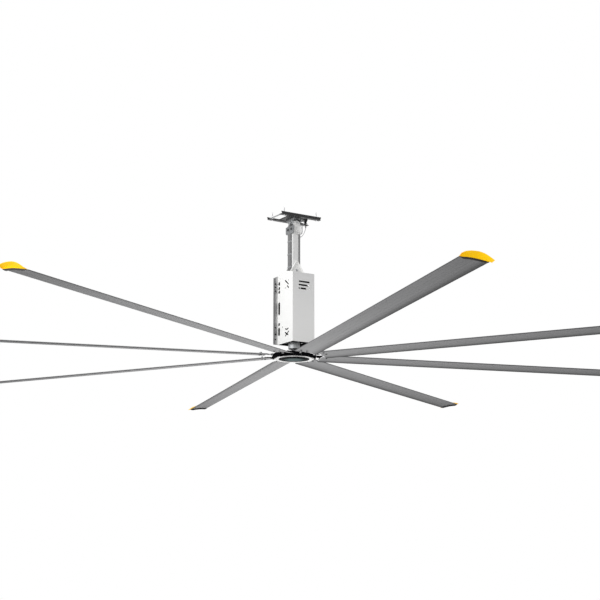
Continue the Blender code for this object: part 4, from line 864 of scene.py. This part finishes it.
def addBlades():
    values = bladeValues
    reach = [spot.x for spot in bladeSpots("blade_1")]
    root, tip = min(reach), max(reach)
    sparStart, sparEnd, tailEnd = values["cellShares"]
    tailStart = sparEnd + values["wall"] / values["chord"]
    loops = [bladeOutline(), hollow(sparStart, sparEnd, values["cellSamples"]),
             hollow(tailStart, tailEnd, values["tailSamples"])]
    centre = Vector(skinPoint(0.5, 0.0))
    rims = [[tuple(centre + (Vector(point) - centre) * share) for point in bladeOutline()]
            for share in values["rimShares"]]
    blank = slab("blade", loops, root, tip - root, values["sharpAngle"])
    rim = slab("bladeRim", rims, root - values["rimOut"], values["rootRim"], values["sharpAngle"])
    keepPlaces(blank)
    keepPlaces(rim)
    roundRotor("blade", blank, bladeMetal, "blade_metal", "blade_")
    roundRotor("bladeRim", rim, sawnMetal, "blade_metal")
    return root, tip


bladeRoot, bladeTip = addBlades()
print("blades extruded from", round(bladeRoot, 3), "to", round(bladeTip, 3))


# Tip fins
finValues = {
    "peak": 0.0233, "lean": 0.040, "wall": 0.004, "lead": 0.004, "trail": 0.014, "sweep": 0.004,
    "stations": 48,
    "riseShares": (0.43, 0.52, 0.68, 0.84, 0.95, 1.0, 0.98, 0.92, 0.74, 0.50, 0.23), "droop": 0.25,
    "deckLean": 0.18, "midLean": 0.54, "taper": 0.5, "lowLevels": 4, "highLevels": 7, "capThick": 0.004,
    "footPower": 1.5, "noseShare": 0.004, "leadWallShare": 0.45, "leadWallGain": 8, "crestShares": (0.2, 0.3),
    "clear": 0.0003, "screwShares": (0.24, 0.47), "screwInset": 0.016, "sharpAngle": 50, "capSharpAngle": 40,
}


def smoothShare(shares, share):  # a smooth curve through evenly spaced shares
    spot = min(int(share * (len(shares) - 1)), len(shares) - 2)
    t = share * (len(shares) - 1) - spot
    picks = [shares[min(max(spot + step, 0), len(shares) - 1)] for step in (-1, 0, 1, 2)]
    first, second = (picks[2] - picks[0]) / 2, (picks[3] - picks[1]) / 2
    return hermite(t, picks[1], picks[2], first, second)


def finRing(share, start):  # the fin's section at one station along the chord
    values, blade = finValues, bladeValues
    along = -values["lead"] + share * (blade["chord"] + values["lead"] + values["trail"])
    place = min(max(along / blade["chord"], 0.0), 1.0)
    centre = along - blade["sparShare"] * blade["chord"]
    droop = values["droop"] * max(along - blade["chord"], 0.0)
    foot, deck = [skinSpot(label, max(place, values["noseShare"]))[1] - droop
                  for label in ("lowerShares", "upperShares")]
    rise = values["peak"] * smoothShare(values["riseShares"], share)
    swell = min(1.0, values["leadWallShare"] + values["leadWallGain"] * share)
    wall = values["wall"] * (1 - values["taper"] * share) * swell
    curve = 2 * (1 + values["deckLean"]) - 4 * values["midLean"]
    slope = 1 - values["deckLean"] - curve
    levels = []
    for level in range(values["lowLevels"]):
        climb = level / values["lowLevels"]
        levels.append((values["deckLean"] * climb ** values["footPower"], foot + (deck - foot) * climb))
    for level in range(values["highLevels"] + 1):
        climb = level / values["highLevels"]
        levels.append((values["deckLean"] + slope * climb + curve * climb ** 2, deck + rise * climb))
    inner = [(values["lean"] * lean, height) for lean, height in levels]
    outer = [(out + wall, height - wall * lean) for (out, height), (lean, _) in zip(inner, levels)]
    crest = tuple((near + far) / 2 + wall * share
                  for near, far, share in zip(inner[-1], outer[-1], values["crestShares"]))
    ring = inner + [crest] + outer[::-1]
    drift = values["sweep"] * share ** 3
    return [(start + drift + out, centre, height) for out, height in ring]


def finMesh(start):
    values = finValues
    shape = bmesh.new()
    rows = [[shape.verts.new(point) for point in finRing(step / (values["stations"] - 1), start)]
            for step in range(values["stations"])]
    for first, second in zip(rows, rows[1:]):
        for spot in range(len(first)):
            after = (spot + 1) % len(first)
            shape.faces.new((first[spot], first[after], second[after], second[spot]))
    shape.faces.new(rows[0])
    shape.faces.new(rows[-1])
    return solidMesh("fin", shape, values["sharpAngle"])


sealValues = {
    "thick": 0.008, "drop": 0.013, "endDrop": 0.003, "ramps": 8, "samples": 30, "inset": 0.010,
    "bite": 0.0004, "lap": 0.0004, "sharpAngle": 40,
}


def sealMesh():  # a black rubber lip that hangs below the blade's end, also painted shade for the dark line there
    values = sealValues
    upper, lower = [], []
    for step in range(values["samples"] + 1):
        t = step / values["samples"]
        ramp = min(1.0, values["ramps"] * t, values["ramps"] * (1 - t))
        share = values["inset"] + (1 - 2 * values["inset"]) * t
        across, skin = skinSpot("lowerShares", share)
        drop = values["endDrop"] + (values["drop"] - values["endDrop"]) * ramp
        upper.append((across, skin + values["lap"]))
        lower.append((across, skin - drop))
    start = bladeTip - values["thick"] + values["bite"]
    return slab("seal", [upper + lower[::-1]], start, values["thick"], values["sharpAngle"])


tipScrewSizes = {
    "Far Nut": False, "Sides": 16, "Head Radius": 0.0034, "Head Height": 0.0014, "Washer Radius": 0.0042,
    "Washer Thickness": 0.0006,
}


def addFins():
    values = finValues
    start = bladeTip + values["clear"]
    cap = slab("finCap", [bladeOutline()], start, values["capThick"], values["capSharpAngle"])
    blank = joinedMeshes("fin", [finMesh(start), cap])
    keepPlaces(blank)
    roundRotor("tipSeal", sealMesh(), blackCoat, "strut_black")
    roundRotor("tipFin", blank, finPlastic, "fin_yellow", "winglet_")
    screws = []
    for number in bladeNumbers:
        place = bladePlace(number)
        for share in values["screwShares"]:
            for label, way in (("lowerShares", down), ("upperShares", up)):
                spot = Vector((bladeTip - values["screwInset"], *skinSpot(label, share)))
                screws.append((place @ spot, place.to_3x3() @ way))
    addFasteners("tipScrews", "rotor", screws, tipScrewSizes, boltZinc)


addFins()
print("tip fins moulded")


# Struts, the hub and what shows below it
hubValues = {
    "strutRounding": 0.0015, "boltReach": 0.300, "boltSpread": 0.052, "lockReach": 0.196, "slack": 0.0005,
    "ringBoltCircle": 0.1505, "ringInner": 0.140, "ringEdge": 0.0012, "ringSeat": 0.0021,
    "topBoltReach": 0.150, "topBoltSpread": 0.044, "shaftCircle": 0.035, "shaftCount": 6, "shaftSeat": 0.0123,
}
rootBoltSizes = {
    "Stand Out": 0.003, "Shank Radius": 0.0038, "Head Radius": 0.0078, "Head Height": 0.005,
    "Washer Radius": 0.0088, "Washer Thickness": 0.0015, "Pitch": 0.00125,
}
lockBoltSizes = {"Stand Out": 0.002, "Head Radius": 0.0092, "Head Height": 0.006}
topBoltSizes = {"Far Nut": False, "Head Radius": 0.0092, "Head Height": 0.006}
ringScrewSizes = {
    "Far Nut": False, "Sides": 16, "Head Radius": 0.0036, "Head Height": 0.0014, "Washer Radius": 0.0044,
    "Washer Thickness": 0.0005,
}
shaftBoltSizes = {"Far Nut": False, "Head Radius": 0.0064, "Head Height": 0.0045, "Washer Radius": 0.0075}


def addStruts():
    values, blade = hubValues, bladeValues
    spots = bladeSpots("blade_strut_1")
    start, end = min(spot.x for spot in spots), max(spot.x for spot in spots)
    half = max(abs(spot.y) for spot in spots)
    thick = min(abs(spot.z) for spot in spots if abs(spot.x - end) < values["slack"])
    corners = Vector((start, -half, -thick)), Vector((end, half, thick))
    bar = roundedBox("strut", *corners, values["strutRounding"])
    roundRotor("strut", bar, hubCoat, "strut_black", "blade_strut_")
    rootBolts, lockBolts = [], []
    for number in bladeNumbers:
        place = bladePlace(number)
        below = place.to_3x3() @ down
        for side in (-1, 1):
            share = blade["sparShare"] + side * values["boltSpread"] / 2 / blade["chord"]
            across, low = skinSpot("lowerShares", share)
            high = skinSpot("upperShares", share)[1]
            rootBolts.append((place @ Vector((values["boltReach"], across, low)), below))
        lockBolts.append((place @ Vector((values["lockReach"], 0, -thick)), below))
    addFasteners("rootBolts", "rotor", rootBolts, {**rootBoltSizes, "Grip": high - low}, boltZinc)
    addFasteners("lockBolts", "rotor", lockBolts, {**lockBoltSizes, "Grip": 2 * thick}, shinyZinc)


def hubBolts():
    values = hubValues
    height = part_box("hub")[1].z
    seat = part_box("hub_ring")[0].z + values["ringSeat"]
    top, under = [], []
    for number in bladeNumbers:
        turn = Matrix.Rotation(strutTurn(number), 4, "Z")
        corner = Matrix.Rotation(strutTurn(number) + pi / len(bladeNumbers), 4, "Z")
        for side in (-1, 1):
            spot = Vector((values["topBoltReach"], side * values["topBoltSpread"] / 2, height))
            top.append((turn @ spot, up))
        under.append((corner @ Vector((values["ringBoltCircle"], 0, seat)), down))
    addFasteners("hubTopBolts", "rotor", top, topBoltSizes, boltZinc)
    addFasteners("ringScrews", "rotor", under, ringScrewSizes, shinyZinc)
    spots = ringSpots(values["shaftCircle"], values["shaftCount"], height + values["shaftSeat"], up)
    addFasteners("shaftBolts", "rotor", spots, shaftBoltSizes, boltZinc)


capValues = {
    "rimSteps": ((0.0, 0.0036), (0.0014, 0.0050), (0.012, 0.0050), (0.0135, 0.0042), (0.0165, 0.0042),
                 (0.018, 0.0050), (0.031, 0.0052)),  # inward and downward from the upper rim
    "domeSteps": 10, "sides": 96, "sharpAngle": 30,
}


def addHubCap():  # a shallow glossy dome inside a stepped rim
    values = capValues
    low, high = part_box("hub_cap")
    profile = [(0, high.z), (high.x, high.z)]
    profile += [(high.x - inward, high.z - downward) for inward, downward in values["rimSteps"]]
    dome, edge = profile[-1]
    for step in range(1, values["domeSteps"]):
        angle = pi / 2 * step / values["domeSteps"]
        profile.append((dome * cos(angle), edge - (edge - low.z) * sin(angle)))
    profile.append((0, low.z))
    mesh = turned("smokedCap", profile, values["sides"], values["sharpAngle"])
    settle(addPiece("smokedCap", mesh, capPaintedGloss), "cap_gloss", "rotor", "hub_cap")


def addHubRing():  # a dished ring with its inner edge drawn up
    low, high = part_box("hub_ring")
    mesh = nodes["hub_ring"].data.copy()
    for vertex in mesh.vertices:
        if vertex.co.z < (low.z + high.z) / 2 and vertex.co.xy.length < hubValues["ringInner"]:
            vertex.co.z = high.z - hubValues["ringEdge"]
    settle(addPiece("dishedRing", mesh, whiteCoat), "ring_white", "rotor", "hub_ring")


addStruts()
hubBolts()
addHubRing()
addHubCap()
print("hub dressed")


# Drop tube: a dark grey cable duct on its left side and a slim dark grey conduit down its front, both painted
# shade on the tube's left face and front edge
ductValues = {
    "half": 0.025, "stand": 0.0145, "baseShare": 0.7, "lidShare": 0.6, "lid": 0.002, "lidInset": 0.003,
    "baseRounding": 0.0008, "lidRounding": 0.0006, "footClear": 0.0005, "topClear": 0.003, "sink": 0.0002,
    "clipHeight": 0.010, "clipStand": 0.0012, "clipPitch": 0.115, "clipOver": 0.004,
}
conduitValues = {
    "width": 0.018, "stand": 0.005, "inset": 0.001, "rounding": 0.0018, "tipHalf": 0.007, "lift": 0.018,
}


def rowTree():  # boxes of one size set out in a row
    inputs = ("Count", "Int"), ("Pitch", "Float"), ("Size", "Vector")
    source, add, _, close = growTree("clipRow", inputs)
    step = add("ShaderNodeCombineXYZ", {"Z": source["Pitch"]})
    spots = add("MeshLine", {"Count": source["Count"], "Offset": step}, mode="OFFSET")
    box = add("MeshCube", {"Size": source["Size"]})
    heads = add("InstanceOnPoints", {"Points": spots, "Instance": box})
    return close(add("InstanceOnPoints", {"Points": source["Geometry"], "Instance": heads}))


def addDuct(left, foot, top):
    values = ductValues
    half, stand, lid = values["half"], values["stand"], values["lid"]
    under = left - values["lidShare"] * stand
    # the duct's dark grey is painted shade on the tube's left face
    strips = [roundedBox("duct", Vector((left - values["baseShare"] * stand, -half, foot)),
                         Vector((left + values["sink"], half, top)), values["baseRounding"])]
    for start, end in ((-half + values["lidInset"], -lid), (lid, half - values["lidInset"])):
        strips.append(roundedBox("duct", Vector((left - stand, start, foot)), Vector((under, end, top)),
                                 values["lidRounding"]))
    settle(addPiece("shadeDuct", joinedMeshes("shadeDuct", strips), ductShadeCoat), "frame_grey", "housing")
    count = int((top - foot) / values["clipPitch"])
    start = foot + ((top - foot) - (count - 1) * values["clipPitch"]) / 2
    size = (stand + values["clipStand"], 2 * half + values["clipOver"], values["clipHeight"])
    spots = [(Vector((left - stand / 2 - values["clipStand"] / 2, 0, start)), up)]
    changes = {"Count": count, "Pitch": values["clipPitch"], "Size": size}
    clips = growPiece("ductClips", rowTree(), pointMesh("ductClipPoints", spots), changes, plateZinc)
    settle(clips, "plate_zinc", "housing")


def addConduit(right, front, top):  # a dark grey strip, painted shade along the tube's front edge; it ends above the gusset's slope
    values = conduitValues
    low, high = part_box("front_gusset")
    slope = (right - values["tipHalf"]) / (high.x - values["tipHalf"])
    end = high.z - (high.z - low.z) * slope + values["lift"]
    mesh = roundedBox("conduit", Vector((right - values["width"], front - values["stand"], end)),
                      Vector((right, front + ductValues["sink"], top)), values["rounding"])
    settle(addPiece("conduit", mesh, conduitShadeCoat), "frame_grey", "housing")


tubeLow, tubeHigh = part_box("drop_tube")
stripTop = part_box("lower_yoke")[0].z - ductValues["topClear"]
addDuct(tubeLow.x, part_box("top_plate")[1].z + ductValues["footClear"], stripTop)
addConduit(tubeHigh.x - conduitValues["inset"], tubeLow.y, stripTop)
print("tube dressed")


# Safety cable: twisted strands between two crimped ferrules, made in two halves
cableValues = {
    "strand": 0.00085, "lay": 0.0017, "turns": 8.0, "ferrule": 0.0055, "ferruleLength": 0.016, "bulge": 0.026,
    "points": 29, "gripShare": 0.8, "slack": 0.0005, "strandCount": 6, "strandSides": 8,
}
crimpValues = {
    "waistShares": (0.28, 0.5, 0.72), "bandShares": ((-0.07, 1.0), (-0.03, 0.86), (0.03, 0.86), (0.07, 1.0)),
    "endShare": 0.8, "chamfer": 0.001, "sides": 20, "sharpAngle": 45,
}


def ropeTree():
    labels = ("Strand Radius", "Lay Radius", "Turns")
    source, add, maths, close = growTree("ropeLay", [(label, "Float") for label in labels])
    path = add("MeshToCurve", {"Mesh": source["Geometry"]})
    along = add("SplineParameter", {}, "Factor")
    angle = maths("MULTIPLY", maths("MULTIPLY", along, source["Turns"]), tau)
    tilted = add("SetCurveTilt", {"Curve": path, "Tilt": angle})
    ring, strand = [add("CurvePrimitiveCircle", {"Resolution": cableValues[count], "Radius": source[label]})
                    for count, label in (("strandCount", "Lay Radius"), ("strandSides", "Strand Radius"))]
    bundle = add("RealizeInstances",
                 {"Geometry": add("InstanceOnPoints", {"Points": ring, "Instance": strand})})
    rope = {"Curve": tilted, "Profile Curve": bundle, "Fill Caps": True}
    return close(add("CurveToMesh", rope))


def crimp(start, way):  # a ferrule with three pressed waists
    values = crimpValues
    radius, length = cableValues["ferrule"], cableValues["ferruleLength"]
    profile = [(0, 0), (radius * values["endShare"], 0), (radius, values["chamfer"])]
    profile += [(radius * width, length * (waist + step)) for waist in values["waistShares"]
                for step, width in values["bandShares"]]
    profile += [(radius, length - values["chamfer"]), (radius * values["endShare"], length), (0, length)]
    mesh = turned("crimp", profile, values["sides"], values["sharpAngle"])
    mesh.transform(Matrix.Translation(start) @ way.to_track_quat("Z", "Y").to_matrix().to_4x4())
    return mesh


def addCable():
    values = cableValues
    low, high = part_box("safety_cable")
    spots = [vertex.co for vertex in nodes["safety_cable"].data.vertices]
    face = [spot.y for spot in spots if spot.x < low.x + values["slack"]]
    start = Vector((*middleOf("cable_ring").xy, high.z))
    end = Vector((low.x, (min(face) + max(face)) / 2, low.z + values["ferrule"]))
    grip = values["gripShare"] * values["ferruleLength"]
    top, foot = start + grip * down, end + grip * toRight
    knots = top, top + values["bulge"] * down, foot + values["bulge"] * toRight, foot
    path = interpolate_bezier(*knots, values["points"])
    middle = values["points"] // 2
    tree = ropeTree()
    sizes = {"Strand Radius": values["strand"], "Lay Radius": values["lay"], "Turns": values["turns"] / 2}
    halves = (("cableTop", path[:middle + 1], crimp(start, down), ("mount", "swivel"), start, path[middle]),
              ("cableFoot", path[middle:], crimp(end, toRight), ("swivel", "housing"), path[middle], end))
    for name, points, ferrule, bodies, first, last in halves:
        line = bpy.data.meshes.new(name + "Path")
        line.from_pydata(points, [(spot, spot + 1) for spot in range(len(points) - 1)], [])
        rope = growPiece(name + "Rope", tree, line, sizes, ropeSteel)
        piece = addPiece(name, joinedMeshes(name, [rope.data, ferrule]), ropeSteel)
        bpy.data.objects.remove(rope, do_unlink=True)
        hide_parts("safety_cable")
        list(bodies)
        tuple(first)
        tuple(last)
        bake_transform(piece)
    length = sum((after - before).length for before, after in zip(path, path[1:])) + 2 * grip
    print("safety cable laid,", round(length, 3), "m long")


addCable()


# Studio
studioValues = {
    "floorDepth": 6.0, "floorSize": 60.0, "floorNoise": (1.5, 3.0), "floorTones": (grey(0.90), grey(0.93)),
    "floorGlow": 0.5, "skyLight": 0.56, "aim": (0, 0, -0.8),
    "lamps": (("key", (-20.0, -5.7, 4.0), 2500.0, 8.0), ("fill", (4.0, -12.0, 3.0), 46.0, 7.0),
              ("under", (1.2, 4.2, -3.6), 42.0, 3.0)),  # place, power and size
}
cameraValues = {
    "place": (-5.7658, -9.2557, -3.0774), "pitch": 12.1326, "heading": -32.1925, "focalPixels": 1284.78,
    "imagePixels": 600, "sensor": 36.0, "clipEnd": 200.0,
}


def addFloor():
    values = studioValues
    half = values["floorSize"]
    mesh = bpy.data.meshes.new("floor")
    corners = [(across, along, -values["floorDepth"])
               for across, along in ((-half, -half), (half, -half), (half, half), (-half, half))]
    mesh.from_pydata(corners, [], [(0, 1, 2, 3)])
    finish = Finish("paleFloor", {})
    finish.tree.nodes.remove(finish.shader)
    colour = finish.mixed(finish.noise(*values["floorNoise"]), *values["floorTones"])
    matt = finish.node("BsdfDiffuse", {"Color": colour})
    glow = finish.node("Emission", {"Color": grey(1), "Strength": finish.seen() * values["floorGlow"]})
    above = finish.node("AddShader", {0: matt, 1: glow})
    below = finish.node("BsdfTransparent", {})
    side = finish.node("NewGeometry", {}, "Backfacing")
    both = finish.node("MixShader", {0: side, 1: above, 2: below})
    finish.join(finish.tree.nodes["Material Output"].inputs["Surface"], both)
    addPiece("floor", mesh, finish.material)


def addSky():  # dimmer as a light than it is to the eye
    world = bpy.data.worlds.new("studio")
    bpy.context.scene.world = world
    world.use_nodes = True
    sky = Wiring(world.node_tree)
    background = sky.tree.nodes["Background"].inputs
    dim = studioValues["skyLight"]
    sky.join(background["Strength"], dim + (1 - dim) * sky.seen())
    sky.join(background["Color"], grey(1))


def addLamp(name, place, power, size):
    lamp = bpy.data.lights.new(name, "AREA")
    lamp.energy, lamp.size = power, size
    holder = addObject(name, lamp)
    holder.location = place
    aim = Vector(studioValues["aim"]) - Vector(place)
    holder.rotation_euler = aim.to_track_quat("-Z", "Y").to_euler()
    holder.visible_camera = False


def addCamera():
    values = cameraValues
    camera = bpy.data.cameras.new("camera")
    camera.sensor_width = values["sensor"]
    camera.lens = values["sensor"] * values["focalPixels"] / values["imagePixels"]
    camera.clip_end = values["clipEnd"]
    holder = addObject("camera", camera)
    holder.location = values["place"]
    holder.rotation_euler = (radians(90 + values["pitch"]), 0, radians(values["heading"]))
    bpy.context.scene.camera = holder


addFloor()
addSky()
for lampValues in studioValues["lamps"]:
    addLamp(*lampValues)
addCamera()
bpy.context.scene.view_settings.view_transform = "Standard"
print("studio ready")

bpy.context.view_layer.update()
